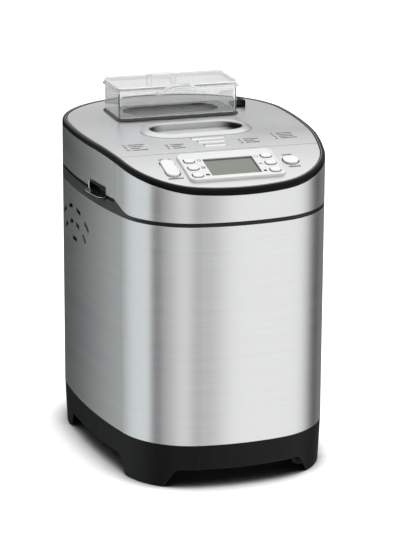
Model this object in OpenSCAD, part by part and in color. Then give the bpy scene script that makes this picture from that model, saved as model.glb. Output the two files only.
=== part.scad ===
// Bread machine with a viewing window, an ingredient dispenser on the lid and a sloping console.
// X runs to the right seen from the front, the front faces -Y, and the feet stand on Z = 0.

/* [Body] */
// Width of the body across its bowed side walls
body_w = 226; // [220:1:236]
// Depth of the body from front to back
body_d = 306.5; // [303:0.5:316]
// Radius of the bowed front in plan
front_r = 227; // [215:1:245]
// Radius of the front corners in plan
front_corner_r = 72.5; // [68:0.5:76]
// Radius of the bowed sides in plan
side_r = 535; // [500:5:600]
// Where the body is widest, measured back from its middle
widest_y = 29; // [20:1:36]
// Radius of the rear corners in plan
rear_corner_r = 98; // [90:1:104]
// How much the radius of the rear exceeds half the width
rear_flat = 13; // [5:1:22]
// Thickness of the brushed steel sheets
steel_t = 0.8; // [0.5:0.1:1.2]
// Height of the steel wrap
wrap_h = 210; // [206:1:225]

/* [Base] */
// Height of the moulded base
base_h = 43; // [42:0.5:46]
// Wall of the moulded base
base_wall = 3; // [2.4:0.1:3.5]
// How far the base draws in at its foot on each side
base_draft = 1.7; // [1:0.1:3]
// Height of the arches between the feet
arch_h = 19; // [15:0.5:20]
// Thickness of the base's floor
floor_t = 3; // [2:0.25:3.5]
// Half width of the front and back arches at their crown
arch_half = 61; // [55:1:64]
// How far an arch spreads from its crown to the ground
arch_spread = 11; // [6:1:14]
// Length of the front feet, from the front of the body to the crown of the side arches
front_foot_l = 69.25; // [63.25:1:77.25]
// Length of the rear feet, from the rear of the body to the crown of the side arches
rear_foot_l = 108.25; // [101.25:1:115.25]
// Fillet at the crown of an arch
arch_fillet = 7; // [3:0.5:9]
// Radius of a rubber foot
foot_r = 8; // [6:0.5:9]
// Height of a rubber foot
foot_h = 4; // [3:0.5:6]
// Gap between the moulded feet and the ground
foot_lift = 1; // [0.5:0.1:2]

/* [Rim and lid] */
// Height of the frame that rims the body under the lid
frame_rise = 10.2; // [9.5:0.1:12]
// Height of the black line under the console's steel band
line_h = 3.9; // [3:0.1:5]
// Gap between the frame and the closed lid
lid_gap = 0.5; // [0.3:0.1:1]
// Height of the lid at its flat top
lid_h = 45.6; // [44:0.1:50]
// Height of the lip under the lid's steel band
lip_h = 3; // [2:0.1:4]
// Distance from the front of the body to the seam between the console and the lid
seam_inset = 74.25; // [72.25:0.5:76.25]
// Gap between the lid and the console
seam_gap = 0.9; // [0.8:0.1:1.4]
// Distance from the front of the body to where the top's front curve begins
curve_inset = 119.25; // [117.25:1:123.25]
// Radius of the curved front part of the top
curve_r = 325; // [300:5:400]
// Width of the black rim on top
rim_w = 5; // [4:0.25:6]
// Height of the black rim on the side
rim_h = 4.8; // [4:0.1:6]
// How far the top plates lie under the rim
plate_drop = 0.4; // [0.2:0.1:1]
// Thickness of the top plates
plate_t = 1.2; // [1:0.1:2]
// Radius of the lid's hinge pins
hinge_pin_r = 2.5; // [2:0.1:3]

/* [Window] */
// Middle of the window, measured back from the body's middle
window_y = -8; // [-10:0.5:-6]
// Half length of the window's clear opening
window_hx = 45.7; // [42:0.1:48]
// Half depth of the window's clear opening
window_hy = 20; // [17:0.5:21]
// Thickness of a window pane
pane_t = 2; // [1.5:0.25:2.5]

/* [Dispenser] */
// Distance from the rear of the body to the middle of the dispenser
disp_inset = 80.25; // [79.25:0.5:81.25]
// Half length of the clear box
box_hx = 60; // [57:0.5:61]
// Half depth of the clear box
box_hy = 28; // [27:0.5:29]
// Height of the clear box above its floor
box_h = 27; // [20:0.5:34]
// Wall of the clear box
box_wall = 2; // [1.5:0.25:2.5]
// Half length of the opening in the dispenser's floor
drop_hx = 48; // [40:0.5:50]
// Half depth of the opening in the dispenser's floor
drop_hy = 19; // [14:0.5:20]

/* [Console] */
// Distance from the front of the body to the middle of the display plate
console_inset = 40.75; // [39.25:0.5:42.25]
// Half length of the display plate
bezel_hx = 46; // [45:0.5:47]
// Half depth of the display plate
bezel_hy = 25.2; // [24.5:0.1:25.6]
// How far the display plate stands out of the console
bezel_rise = 1.5; // [1:0.1:2.5]
// Half length of the display
lcd_hx = 24; // [20:0.5:24.5]
// Half depth of the display
lcd_hy = 16.2; // [13:0.1:17]
// Length of a small key
key_w = 9.5; // [8:0.25:10]
// Depth of a small key
key_d = 7.6; // [6:0.1:9]
// Distance from one small key to the next
key_pitch = 13.9; // [12:0.1:14.2]
// Travel of every button
key_travel = 1; // [0.5:0.1:1.2]
// Radius of the start button
start_r = 7.25; // [6:0.25:7.5]

/* [Oven and pan] */
// Room between the oven chamber and the outside of the body at each side
oven_side_room = 34; // [33:0.5:35]
// Half the difference between the body's depth and the oven chamber's inner depth
oven_end_room = 61.25; // [60.25:0.25:61.75]
// Middle of the oven chamber, measured back from the body's middle
oven_y = 31; // [30:0.5:31.5]
// Radius of the heating element's rod
rod_r = 3.2; // [2.5:0.1:3.3]
// Room between the baking pan and the oven at each side
pan_side_gap = 13; // [12.5:0.5:16]
// Room between the baking pan and the oven at the front and the rear
pan_end_gap = 14; // [13:0.5:17]
// Height of the baking pan
pan_h = 120; // [100:1:124]
// Wall of the baking pan
pan_wall = 1.5; // [1:0.1:2.5]
// Corner radius of the baking pan
pan_r = 20; // [12:1:26]
// Radius of the pan handle's wire
wire_r = 2.2; // [1.6:0.1:2.5]
// Length of the kneading blade from the shaft's axis
blade_reach = 48; // [30:1:55]

/* [Drive] */
// Radius of the drive shaft
shaft_r = 5; // [4:0.25:6]
// Radius of the pan's shaft
pan_shaft_r = 4; // [3:0.25:4.5]
// Radius of the driven pulley
driven_r = 50; // [44:0.5:51]
// Radius of the motor pulley
motor_pulley_r = 8; // [7:0.25:10]
// Width of both pulleys
pulley_h = 11; // [9:0.5:12]
// Thickness of the drive belt
belt_t = 2; // [1.5:0.25:2.5]
// Distance from the front of the body to the motor's axis
motor_inset = 46.25; // [45.25:0.5:47.25]
// Radius of the motor
motor_r = 38; // [30:0.5:38.5]
// Height of the motor
motor_h = 60; // [45:1:75]

/* [Fits] */
// Clearance of a shaft or pin that turns in its bore
run = 0.05; // [0.03:0.01:0.08]
// Clearance between a moving piece and the hole it moves in
slip = 0.3; // [0.3:0.05:0.5]
// Gap at a rest seat of a moving piece
seat = 0.3; // [0.2:0.05:0.4]
// Clearance between two pieces that are fastened together
fix = 0.05; // [0.03:0.01:0.1]

/* [Mains inlet] */
// Radius of the bore for the mains lead
lead_r = 3.6; // [3:0.1:4.5]
// Height of the mains inlet above the ground
lead_z = 32; // [31:0.5:34]

/* [Hidden] */
$fn = 180;

far = 400; // longer than the whole body
eps = 0.01;
arc_lap = 0.01; // the corner arcs stand this far proud, so that neighbouring arcs cross cleanly

// Plan outline: centres of the arcs on the right-hand side
rear_r = body_w / 2 + rear_flat;
side_c = [body_w / 2 - side_r, widest_y];
front_c = [0, front_r - body_d / 2];
rear_c = [0, body_d / 2 - rear_r];
front_corner_c = meet(side_c, side_r - front_corner_r, front_c, front_r - front_corner_r, -1);
rear_corner_c = meet(side_c, side_r - rear_corner_r, rear_c, rear_r - rear_corner_r, 1);

// Heights
body_top = base_h + wrap_h;
frame_top = body_top + frame_rise;
line_top = body_top + line_h;
deck_t = 2.5;
deck_top = line_top + 2.6;
deck_bottom = deck_top - deck_t;
lid_z = frame_top + lid_gap;
lip_top = lid_z + lip_h;
top_z = lid_z + lid_h;
curve_cz = top_z - curve_r;
curve_angle = 22.5; // reaches past the front of the body
curve_steps = 18;
plate_z = top_z - plate_drop;
plate_low = plate_drop + plate_t;
frame_wall = 3.5; // outer walls of the plastic frames reach this far in
ledge_w = 3;
ledge_t = 1.8;

// Rise of the frame behind the front corners, where it climbs to meet the lid
kink_angle = 24;
kink_top = frame_top + 3.4;
kink_fillet = 38;

// Places along the body, back from its middle
seam_y = seam_inset - body_d / 2;
curve_y = curve_inset - body_d / 2;
console_y = console_inset - body_d / 2;
motor_y = motor_inset - body_d / 2;
disp_y = body_d / 2 - disp_inset;

// Seam: the faces of the console and of the lid
console_end = seam_y - seam_gap / 2;
lid_start = seam_y + seam_gap / 2;

// Inside of the base
floor_top = arch_h + floor_t;
foot_angle_front = -33;
foot_angle_rear = 42;
foot_inset = foot_r + 9;
foot_places = [front_corner_c + (front_corner_r - foot_inset) * [cos(foot_angle_front), sin(foot_angle_front)],
    rear_corner_c + (rear_corner_r - foot_inset) * [cos(foot_angle_rear), sin(foot_angle_rear)]];
foot_stem_r = 3;
foot_stem_h = 8;
hatch_y = 8;
hatch_half = [body_w / 2 - 57, body_d / 2 - 61.25];
hatch_r = 8;
hatch_step = 6;
hatch_t = 1.2;
hatch_screws = [for (x = [-1, 1], y = [-68, 0, 68]) [x * (hatch_half[0] + 3), hatch_y + y]];
screw_r = 1.5;
screw_head_r = 3.4;
chassis_hx = body_w / 2 - 31;
chassis_rear = body_d / 2 - 41.25;
chassis_places = [for (x = [-1, 1], y = [65.25 - body_d / 2, chassis_rear - 16]) [x * (chassis_hx - 14), y]];
chassis_t = 2;
chassis_z = 44;
chassis_top = chassis_z + chassis_t;
chassis_post_r = 6;
gland_y = body_d / 2 - 8.25;
gland_r = 6.5;
gland_flange_r = gland_r + 1.4;
lead_recess = lead_z - gland_flange_r - 0.5;

// Drive train
pulley_z = 27;
belt_gap = 0.3;
belt_h = pulley_h - 3;
bearing_r = 13;
bearing_top = chassis_top + 23;
oven_floor = chassis_top + 16;
pan_seat_h = 7;
pan_seat_z = oven_floor + pan_seat_h;
dog_r = 2.5;
dog_reach = 10.5;
dog_disc_t = 4;
dog_h = 6;
dog_disc_z = bearing_top + 1;
dog_z = dog_disc_z + dog_disc_t;
wing_z = dog_z + 1;
motor_shaft_r = 4;

// Oven and pan
oven_r = 22;
oven_flange = 6;
pan_z = pan_seat_z + seat + 12.7;
pan_top = pan_z + pan_h;
collar_r = 33;
collar_wall = 9;
pan_boss_r = 9;
oven_w = body_w - 2 * oven_side_room;
oven_d = body_d - 2 * oven_end_room;
pan_w = oven_w - 2 * pan_side_gap;
pan_d = oven_d - 2 * pan_end_gap;
element_z = pan_z + 4;
element_hx = pan_w / 2 + (oven_w - pan_w) / 4;
element_hy = pan_d / 2 + (oven_d - pan_d) / 4;
element_r = 18;
elbow_r = 7;
element_lead_x = 14;
probe_x = 40;
probe_r = 2.5;
probe_z = element_z + 16;
shield_y = oven_y - oven_d / 2 - 5.5;
shield_hx = oven_w / 2 + 5;
bail_z = pan_top - 8;
bail_reach = pan_d / 2 + 1.2;
bail_corner = 14;
bail_rest = asin((pan_top + seat + wire_r - bail_z) / bail_reach);
hub_r = 9;
hub_z = pan_z + 4.3;
hub_h = 26;

// Lid
dome_hx = oven_w / 2 - 2;
dome_hy = 48;
dome_y = -4;
dome_r = 14;
dome_top = lid_z + 20;
inner_t = 0.8;
inner_rear = body_d / 2 - 25.05;
inner_front = lid_start + 3.4;
cross_y = inner_rear + 0.3;
cross_t = 2.5;
seal_in = 1.5;
seal_w = 3;
hinge_y = body_d / 2 - 12.25;
hinge_z = lid_z + 17.8;
ear_x = 22;
ear_t = 5;
ear_r = 5.5;
bracket_hx = ear_x + ear_t + 7;
web_x = ear_x + ear_t + 0.6;
web_t = 5;
slot_over = 5;
grip_angle = -7.85;
grip_half = 19;
grip_h = 10.5;
grip_depth = 7;
window_land = 9;
window_rise = 3.6;
pane_drop = 3.5;
inner_pane_hx = 41;
inner_pane_hy = 16;
louvres = [[seam_y + 35, 15.3], [seam_y + 24, 12.6], [seam_y + 13, 9.6]]; // depth and half length of each
louvre_w = 3.4;

// Dispenser
chute_hx = box_hx - 3.5;
chute_hy = box_hy - 1.5;
chute_wall = 1.5;
base_flange = 2.4;
base_low = plate_z + 0.2;
base_top = base_low + base_flange;
box_top = base_top + box_h;
flap_t = 1.8;
flap_z = base_low - 0.1 - flap_t;
flap_hx = drop_hx + 2;
flap_hy = drop_hy + 2;
flap_ear_r = 2;
flap_pin_y = disp_y + flap_hy + flap_ear_r + 0.4;
flap_pin_z = flap_z - 0.7;
flap_pin_r = 1.2;
flap_knuckle_r = 2.2;
cover_over = 2.4;
cover_skirt = 2.4;
cover_t = 2.4;
cover_pin_y = disp_y + box_hy + 5.2;
cover_pin_z = box_top - 1;
cover_pin_r = 1.5;
cover_knuckle_r = 3.6;
solenoid_z = lid_z + 27.5;
solenoid_x = chute_hx + chute_wall + fix;
solenoid_l = 30;
solenoid_hy = 11;
plunger_r = 3;
latch_x = box_hx + 7.5;
latch_y = 81;
latch_travel = 4;

// Console
console_tilt = asin((curve_y - console_y) / curve_r);
console_z = curve_cz + sqrt(pow(curve_r - plate_drop, 2) - pow(console_y - curve_y, 2));
bezel_r = 6;
bezel_wall = 1.5;
bezel_depth = 4;
glass_t = 1.2;
board_top = -11;
board_t = 1.6;
board_hx = 66;
board_hy = 24;
display_v = -3.2;
key_u = 37.2;
key_r = 3;
key_rise = 1.1;
key_flange = 0.8;
switch_h = 1.7;
stem_r = 1.5;
stem_tip = board_top + switch_h + key_travel + seat;
start_u = 58.5;
start_v = 1;
rocker_u = -57.7;
rocker_v = 2.6;
rocker_hx = 6.2;
rocker_hy = 15.5;
rocker_pin_w = -5;
rocker_pin_r = 1;

// Side vents: radius of the row, angles of its slots, length of a slot
vent_y = 20;
vent_z = body_top - 86;
vent_w = 3.2;
vent_rows = [[67, [-32.5, -11, 11, 32.5], 12.5], [52, [-34, -11, 11, 34], 10], [36, [0], 14]];

function unit(v) = v / norm(v);

// Where two circles cross, to the left (side 1) or the right (side -1) of the line between them
function meet(a, ra, b, rb, side) =
    let (d = norm(b - a), u = (b - a) / d, along = (ra * ra - rb * rb + d * d) / (2 * d))
    a + along * u + side * sqrt(ra * ra - along * along) * [-u[1], u[0]];

// Points of the arc of radius r that rounds the corner b between a and c
function fillet(a, b, c, r, steps) =
    let (u = unit(a - b), v = unit(c - b), half = acos(u * v) / 2, m = b + unit(u + v) * r / sin(half),
        p = b + u * r / tan(half) - m, q = b + v * r / tan(half) - m)
    [for (i = [0:steps]) m + r * unit(p * (1 - i / steps) + q * i / steps)];

function flip(p) = [-p[0], p[1]];

// ---------------------------------------------------------------- shared shapes

// The part of a circle beyond its chord from p to q, reaching past both ends and below the chord by lap
module arc_cap(c, r, p, q, lap = 0) {
    out = unit((p + q) / 2 - c);
    reach = r - norm((p + q) / 2 - c) + 1;
    past = lap * unit(q - p);
    intersection() {
        translate(c) circle(r);
        polygon([p - past - lap * out, q + past - lap * out, q + past + reach * out, p - past + reach * out]);
    }
}

// The body's plan, drawn in by i all round
module outline_2d(i = 0) {
    t1 = front_c + (front_r - i) * unit(front_corner_c - front_c);
    t2 = side_c + (side_r - i) * unit(front_corner_c - side_c);
    t3 = side_c + (side_r - i) * unit(rear_corner_c - side_c);
    t4 = rear_c + (rear_r - i) * unit(rear_corner_c - rear_c);
    polygon([t1, t2, t3, t4, flip(t4), flip(t3), flip(t2), flip(t1)]);
    arc_cap(front_c, front_r - i, flip(t1), t1);
    arc_cap(rear_c, rear_r - i, t4, flip(t4));
    for (k = [0, 1]) mirror([k, 0]) {
        arc_cap(front_corner_c, front_corner_r - i + arc_lap, t1, t2, 6);
        arc_cap(side_c, side_r - i, t2, t3);
        arc_cap(rear_corner_c, rear_corner_r - i + arc_lap, t3, t4, 6);
    }
}

// A wall that follows the plan, from a to b inside it and from z0 to z1
module ring(a, b, z0, z1) {
    translate([0, 0, z0]) linear_extrude(z1 - z0) difference() {
        outline_2d(a);
        outline_2d(b);
    }
}

module slab(i, z0, z1) {
    translate([0, 0, z0]) linear_extrude(z1 - z0) outline_2d(i);
}

// A drawing in the YZ plane, carried across the whole width
module across() {
    translate([-far / 2, 0, 0]) rotate([90, 0, 90]) linear_extrude(far) children();
}

// Everything under the top face lowered by d, down to z0; the curve is drawn in short flats
module under_top(d, z0) {
    r = curve_r - d;
    flats = [for (i = [0:curve_steps]) let (a = i * curve_angle / curve_steps)
        [curve_y - r * sin(a), curve_cz + r * cos(a)]];
    across() polygon(concat([[far / 2, z0], [far / 2, top_z - d]], flats, [[flats[curve_steps][0], z0]]));
}

// A skin that follows the top face from d0 down to d1
module top_skin(d0, d1) {
    difference() {
        under_top(d0, top_z - 60);
        under_top(d1, top_z - 61);
    }
}

module in_front_of(y) {
    intersection() {
        children();
        translate([-far / 2, y - far, 0]) cube([far, far, far]);
    }
}

module behind(y) {
    intersection() {
        children();
        translate([-far / 2, y, 0]) cube([far, far, far]);
    }
}

// Side view of what lies above the top edge of the frame in front of the seam
module above_kink_2d() {
    foot = [console_end - (kink_top - line_top) / tan(kink_angle), line_top];
    head = [console_end, kink_top];
    polygon(concat([[-far / 2, line_top]], fillet([-far / 2, line_top], foot, head, kink_fillet, 10),
        [head, [console_end, far], [-far / 2, far]]));
}

// Rectangle with half sizes hx, hy and round corners
module rounded(hx, hy, r) {
    square([2 * hx, 2 * (hy - r)], center = true);
    square([2 * (hx - r), 2 * hy], center = true);
    for (x = [-1, 1], y = [-1, 1]) translate([x * (hx - r), y * (hy - r)]) circle(r);
}

module stadium(hx, hy) {
    square([2 * (hx - hy), 2 * hy], center = true);
    for (x = [-1, 1]) translate([x * (hx - hy), 0]) circle(hy);
}

module block(hx, hy, r, z0, z1) {
    translate([0, 0, z0]) linear_extrude(z1 - z0) rounded(hx, hy, r);
}

module pill(hx, hy, z0, z1) {
    translate([0, 0, z0]) linear_extrude(z1 - z0) stadium(hx, hy);
}

module rod(r, z0, z1) {
    translate([0, 0, z0]) cylinder(r = r, h = z1 - z0);
}

// A cylinder along X from x0 to x1
module rod_x(r, x0, x1) {
    translate([x0, 0, 0]) rotate([0, 90, 0]) cylinder(r = r, h = x1 - x0);
}

// A cylinder along Y from y0 to y1
module rod_y(r, y0, y1) {
    translate([0, y0, 0]) rotate([-90, 0, 0]) cylinder(r = r, h = y1 - y0);
}

module at_oven() { translate([0, oven_y, 0]) children(); }
module at_dispenser() { translate([0, disp_y, 0]) children(); }
module at_window() { translate([0, window_y, 0]) children(); }
module at_motor() { translate([0, motor_y, 0]) children(); }
module at_hinge() { translate([0, hinge_y, hinge_z]) children(); }
module both_sides() { for (k = [0, 1]) mirror([k, 0, 0]) children(); }

// Local frame on the side wall, X outwards, at an angle about the side's arc centre
module on_side(angle) {
    translate(side_c) rotate([0, 0, angle]) translate([side_r, 0, 0]) children();
}

// Local frame of the console: X across, Y up the slope, Z out of the panel
module on_console() {
    translate([0, console_y, console_z]) rotate([console_tilt, 0, 0]) children();
}

// ---------------------------------------------------------------- base

// The base's outer form drawn in by i, narrowing towards the ground
module base_form(i) {
    draft = [1 - base_draft / (body_w / 2), 1 - base_draft / (body_d / 2)];
    translate([0, 0, base_h]) mirror([0, 0, 1])
        linear_extrude(height = base_h - foot_lift, scale = draft, slices = 1) outline_2d(i, $fn = 96);
}

// Cross-section of an arch from a to b at its crown
module arch_2d(a, b) {
    ground = foot_lift - 1;
    p = [a - arch_spread, ground];
    q = [a, arch_h];
    r = [b, arch_h];
    s = [b + arch_spread, ground];
    polygon(concat([p], fillet(p, q, r, arch_fillet, 6), fillet(q, r, s, arch_fillet, 6), [s]));
}

module at_feet() {
    both_sides() for (p = foot_places) translate(p) children();
}

module base_tray() {
    wall_front = foot_places[0][1] - foot_inset;
    wall_side = foot_places[0][0] + foot_r + 2;
    color([0.11, 0.11, 0.115]) difference() {
        union() {
            difference() {
                base_form(0);
                base_form(base_wall);
            }
            slab(base_wall - 1, arch_h, floor_top);
            at_feet() rod(foot_r + 1, foot_h, arch_h + eps);
            for (p = chassis_places) translate(p) rod(chassis_post_r, floor_top - eps, chassis_z);
            for (p = hatch_screws) translate(p) rod(4, floor_top - eps, floor_top + 4);
            translate([-16, gland_y - 3.5, floor_top - eps]) cube([32, 7, base_h - floor_top]);
        }
        translate([0, wall_front, 0]) rotate([90, 0, 0]) linear_extrude(far / 2) arch_2d(-arch_half, arch_half);
        translate([0, far, 0]) rotate([90, 0, 0])
            linear_extrude(far - foot_places[1][1] - foot_inset) arch_2d(-arch_half, arch_half);
        both_sides() translate([wall_side, 0, 0]) rotate([90, 0, 90])
            linear_extrude(far / 2) arch_2d(front_foot_l - body_d / 2, body_d / 2 - rear_foot_l);
        translate([0, hatch_y, 0]) {
            block(hatch_half[0], hatch_half[1], hatch_r, arch_h - 1, floor_top + 1);
            block(hatch_half[0] + hatch_step + fix, hatch_half[1] + hatch_step + fix, hatch_r,
                arch_h - 1, arch_h + hatch_t);
        }
        at_feet() rod(foot_stem_r + fix, foot_h - 1, foot_h + foot_stem_h + fix);
        for (p = chassis_places) translate(p) rod(screw_r + fix, chassis_z - 16, chassis_z + 1);
        for (p = hatch_screws) translate(p) rod(screw_r + fix, arch_h, floor_top + 3);
        translate([-13, gland_y, lead_recess]) cube([26, far / 2, base_h - 2 - lead_recess]);
        translate([0, 0, lead_z]) rod_y(gland_r + fix, gland_y - 5, gland_y + 1);
    }
}

module rubber_feet() {
    color([0.09, 0.09, 0.09]) at_feet() {
        rod(foot_r, 0, foot_h);
        rod(foot_stem_r, foot_h - eps, foot_h + foot_stem_h);
    }
}

module bottom_plate() {
    color([0.62, 0.63, 0.64]) difference() {
        translate([0, hatch_y, 0])
            block(hatch_half[0] + hatch_step, hatch_half[1] + hatch_step, hatch_r, arch_h, arch_h + hatch_t);
        for (p = hatch_screws) translate(p) rod(screw_r + fix, arch_h - 1, arch_h + 2);
        for (x = [-1, 1], y = [-3:3])
            translate([x * 24, hatch_y + y * 22, 0]) pill(16, 2, arch_h - 1, arch_h + 2);
    }
}

module case_screws() {
    color([0.7, 0.7, 0.72]) {
        for (p = hatch_screws) translate(p) {
            rod(screw_head_r, arch_h - 1.4, arch_h);
            rod(screw_r, arch_h - eps, floor_top + 2.5);
        }
        for (p = chassis_places) translate(p) {
            rod(screw_head_r, chassis_top, chassis_top + 2);
            rod(screw_r, chassis_z - 12, chassis_top + eps);
        }
    }
}

module cord_gland() {
    color([0.1, 0.1, 0.1]) translate([0, 0, lead_z]) difference() {
        union() {
            rod_y(gland_r, gland_y - 6, gland_y + eps);
            rod_y(gland_flange_r, gland_y, gland_y + 2);
            rod_y(gland_r - 1, gland_y + 2 - eps, gland_y + 6.5);
        }
        rod_y(lead_r, gland_y - 7, gland_y + 8);
    }
}

// ---------------------------------------------------------------- body

module vent_slots() {
    for (row = vent_rows, a = row[1])
        translate([body_w / 2 - 12, vent_y, vent_z]) rotate([90, 0, 90]) rotate([0, 0, a])
            translate([0, row[0], 0]) linear_extrude(20) stadium(row[2] / 2, vent_w / 2);
}

module outer_wrap() {
    color([0.78, 0.79, 0.8]) difference() {
        ring(0, steel_t, base_h, body_top);
        both_sides() vent_slots();
    }
}

module top_frame() {
    relief_y = hinge_y - 6;
    color([0.2, 0.2, 0.21]) difference() {
        union() {
            ring(0, frame_wall, body_top, kink_top);
            ring(steel_t + fix, frame_wall, body_top - 8, body_top + eps);
            intersection() {
                slab(frame_wall - 0.5, deck_bottom, deck_top);
                translate([-far / 2, console_end - 6, 0]) cube([far, far, far]);
            }
        }
        across() above_kink_2d();
        translate([-far / 2, console_end, frame_top]) cube([far, far, far]);
        translate([-far / 2, relief_y, deck_top]) cube([far, far, far]);
        at_oven() block(oven_w / 2, oven_d / 2, oven_r, deck_bottom - 1, deck_top + 1);
        both_sides() translate([ear_x - slip, hinge_y - ear_r - slip, deck_bottom - 1])
            cube([ear_t + 2 * slip, 2 * (ear_r + slip), deck_t + 2]);
    }
}

module front_band() {
    color([0.8, 0.81, 0.82]) intersection() {
        ring(0, steel_t, line_top, top_z);
        under_top(rim_h, line_top - 1);
        across() above_kink_2d();
    }
}

module rim_shape() {
    intersection() {
        union() {
            ring(0, rim_w, top_z - 50, top_z - 1);
            ring(1.2, rim_w, top_z - 50, top_z + 1);
        }
        top_skin(0, rim_h);
    }
    intersection() {
        ring(rim_w - eps, rim_w + ledge_w, top_z - 50, top_z);
        top_skin(plate_low, plate_low + ledge_t);
    }
}

// The rim's outer edge is stepped, so its crown is narrower than its side
module rim() {
    difference() {
        rim_shape();
        difference() {
            ring(-1, 1.2, top_z - 50, top_z + 1);
            under_top(1.4, top_z - 60);
        }
    }
}

module console_rim() {
    color([0.08, 0.08, 0.085]) in_front_of(console_end) rim();
}

module rocker_ears() {
    for (x = [-1, 1]) translate([rocker_u + x * 8, rocker_v, 0]) difference() {
        translate([-1, -3, rocker_pin_w - 2.5]) cube([2, 6, 2.5 - rocker_pin_w - plate_t / 2]);
        translate([0, 0, rocker_pin_w]) rod_x(rocker_pin_r + run, -2, 2);
    }
}

module console_panel() {
    color([0.86, 0.86, 0.87]) {
        difference() {
            in_front_of(console_end) intersection() {
                slab(rim_w + fix, top_z - 50, top_z);
                top_skin(plate_drop, plate_low);
            }
            on_console() {
                block(bezel_hx + slip / 2, bezel_hy + slip / 2, bezel_r, -8, 8);
                translate([rocker_u, rocker_v, 0]) block(rocker_hx + 0.45, rocker_hy + 0.45, rocker_hx, -4, 4);
                translate([start_u, start_v, 0]) rod(start_r + slip, -4, 4);
            }
        }
        on_console() rocker_ears();
    }
}

module console_housing() {
    wall_y = console_end - 3;
    color([0.25, 0.25, 0.26]) {
        intersection() {
            ring(steel_t + fix, frame_wall, line_top, top_z);
            under_top(rim_h, line_top - 1);
            across() above_kink_2d();
        }
        intersection() {
            slab(rim_w + ledge_w + 0.2, deck_top, top_z);
            under_top(plate_low, deck_top - 1);
            translate([-far / 2, wall_y, 0]) cube([far, 2, far]);
        }
        both_sides() intersection() {
            ring(frame_wall - eps, rim_w + ledge_w + 0.3, deck_top, top_z - 16);
            translate([0, wall_y, 0]) cube([far, 2, far]);
        }
    }
}

module display_bezel() {
    color([0.93, 0.93, 0.93]) on_console() {
        difference() {
            block(bezel_hx, bezel_hy, bezel_r, -bezel_depth, bezel_rise);
            block(bezel_hx - bezel_wall, bezel_hy - bezel_wall, bezel_r - bezel_wall, -bezel_depth - 1, 0);
            translate([0, display_v, 0]) block(lcd_hx, lcd_hy, 1, -1, bezel_rise + 1);
            for (x = [-1, 1], y = [-1:1]) translate([x * key_u, display_v + y * key_pitch, 0])
                block(key_w / 2 + slip, key_d / 2 + slip, key_r + slip, -1, bezel_rise + 1);
        }
        for (x = [-1, 1], y = [-1, 1])
            translate([x * (bezel_hx - 3), y * (bezel_hy - 3), 0]) rod(2.5, board_top, -bezel_depth + 0.8);
    }
}

module lcd_glass() {
    color([0.62, 0.66, 0.6]) on_console() translate([0, display_v, 0])
        block(lcd_hx + 1.5, lcd_hy + 1.5, 1, -glass_t, 0);
}

module tact_switch() { block(3, 3, 0.5, board_top, board_top + switch_h); }

module control_board() {
    color([0.12, 0.35, 0.2]) on_console() {
        block(board_hx, board_hy, 3, board_top - board_t, board_top);
        translate([0, display_v, 0]) block(lcd_hx + 4, lcd_hy + 1.3, 1, board_top + eps, -glass_t);
        for (x = [-1, 1], y = [-1:1]) translate([x * key_u, display_v + y * key_pitch, 0]) tact_switch();
        translate([start_u, start_v, 0]) tact_switch();
        for (y = [-1, 1]) translate([rocker_u, rocker_v + y * 11, 0]) tact_switch();
    }
}

// ---------------------------------------------------------------- buttons

module key_at(column, row) {
    color([0.95, 0.95, 0.95]) on_console() translate([column * key_u, display_v + row * key_pitch, 0]) {
        block(key_w / 2, key_d / 2, key_r, -slip - eps, bezel_rise + key_rise);
        block(key_w / 2 + key_flange, key_d / 2 + key_flange, key_r, -slip - 1.2, -slip);
        rod(stem_r, stem_tip, -slip - 1.2 + eps);
    }
}

module menu_key() key_at(-1, 1);
module crust_key() key_at(-1, 0);
module size_key() key_at(-1, -1);
module timer_up_key() key_at(1, 1);
module timer_down_key() key_at(1, 0);
module light_key() key_at(1, -1);

module start_button() {
    low = -plate_t - 0.5;
    color([0.95, 0.95, 0.95]) on_console() translate([start_u, start_v, 0]) {
        rod(start_r, low - eps, bezel_rise);
        rod(start_r + 1.2, low - 1, low);
        rod(stem_r, stem_tip, low - 1 + eps);
    }
}

module program_rocker() {
    color([0.95, 0.95, 0.95]) on_console() translate([rocker_u, rocker_v, 0]) {
        block(rocker_hx, rocker_hy, rocker_hx - eps, -3.2, 1.3);
        translate([-rocker_hx + 1, -3, rocker_pin_w - 2]) cube([2 * rocker_hx - 2, 6, 2 - rocker_pin_w - 3]);
        translate([0, 0, rocker_pin_w]) rod_x(rocker_pin_r, -8.8, 8.8);
        for (y = [-1, 1]) translate([0, y * 11, 0]) rod(1.2, stem_tip - 0.2, -3);
    }
}

// ---------------------------------------------------------------- oven

module oven_chamber() {
    t = steel_t;
    color([0.66, 0.67, 0.68]) {
        difference() {
            at_oven() union() {
                block(oven_w / 2 + t, oven_d / 2 + t, oven_r + t, oven_floor - t, deck_bottom);
                block(oven_w / 2 + t + oven_flange, oven_d / 2 + t + oven_flange, oven_r + oven_flange,
                    deck_bottom - t, deck_bottom);
            }
            at_oven() {
                block(oven_w / 2, oven_d / 2, oven_r, oven_floor, deck_bottom + 1);
                rod(bearing_r + slip, oven_floor - 2, oven_floor + 1);
                for (x = [-1, 1]) translate([x * element_lead_x, 0, element_z]) rod_y(rod_r + 2.5, 0, far / 2);
                translate([probe_x, 0, probe_z]) rod_y(probe_r + run, -far / 2, 0);
            }
        }
        at_oven() for (x = [-1, 1], y = [-1, 1])
            translate([x * 50, y * 60, 0]) rod(5, chassis_top, oven_floor - t + eps);
        at_oven() for (x = [-1, 1], y = [-1, 1]) {
            clip_x = element_hx + rod_r;
            translate([x > 0 ? clip_x : -oven_w / 2 - eps, y * 40 - 4, element_z - 5])
                cube([oven_w / 2 - clip_x + eps, 8, 10]);
        }
    }
}

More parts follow.
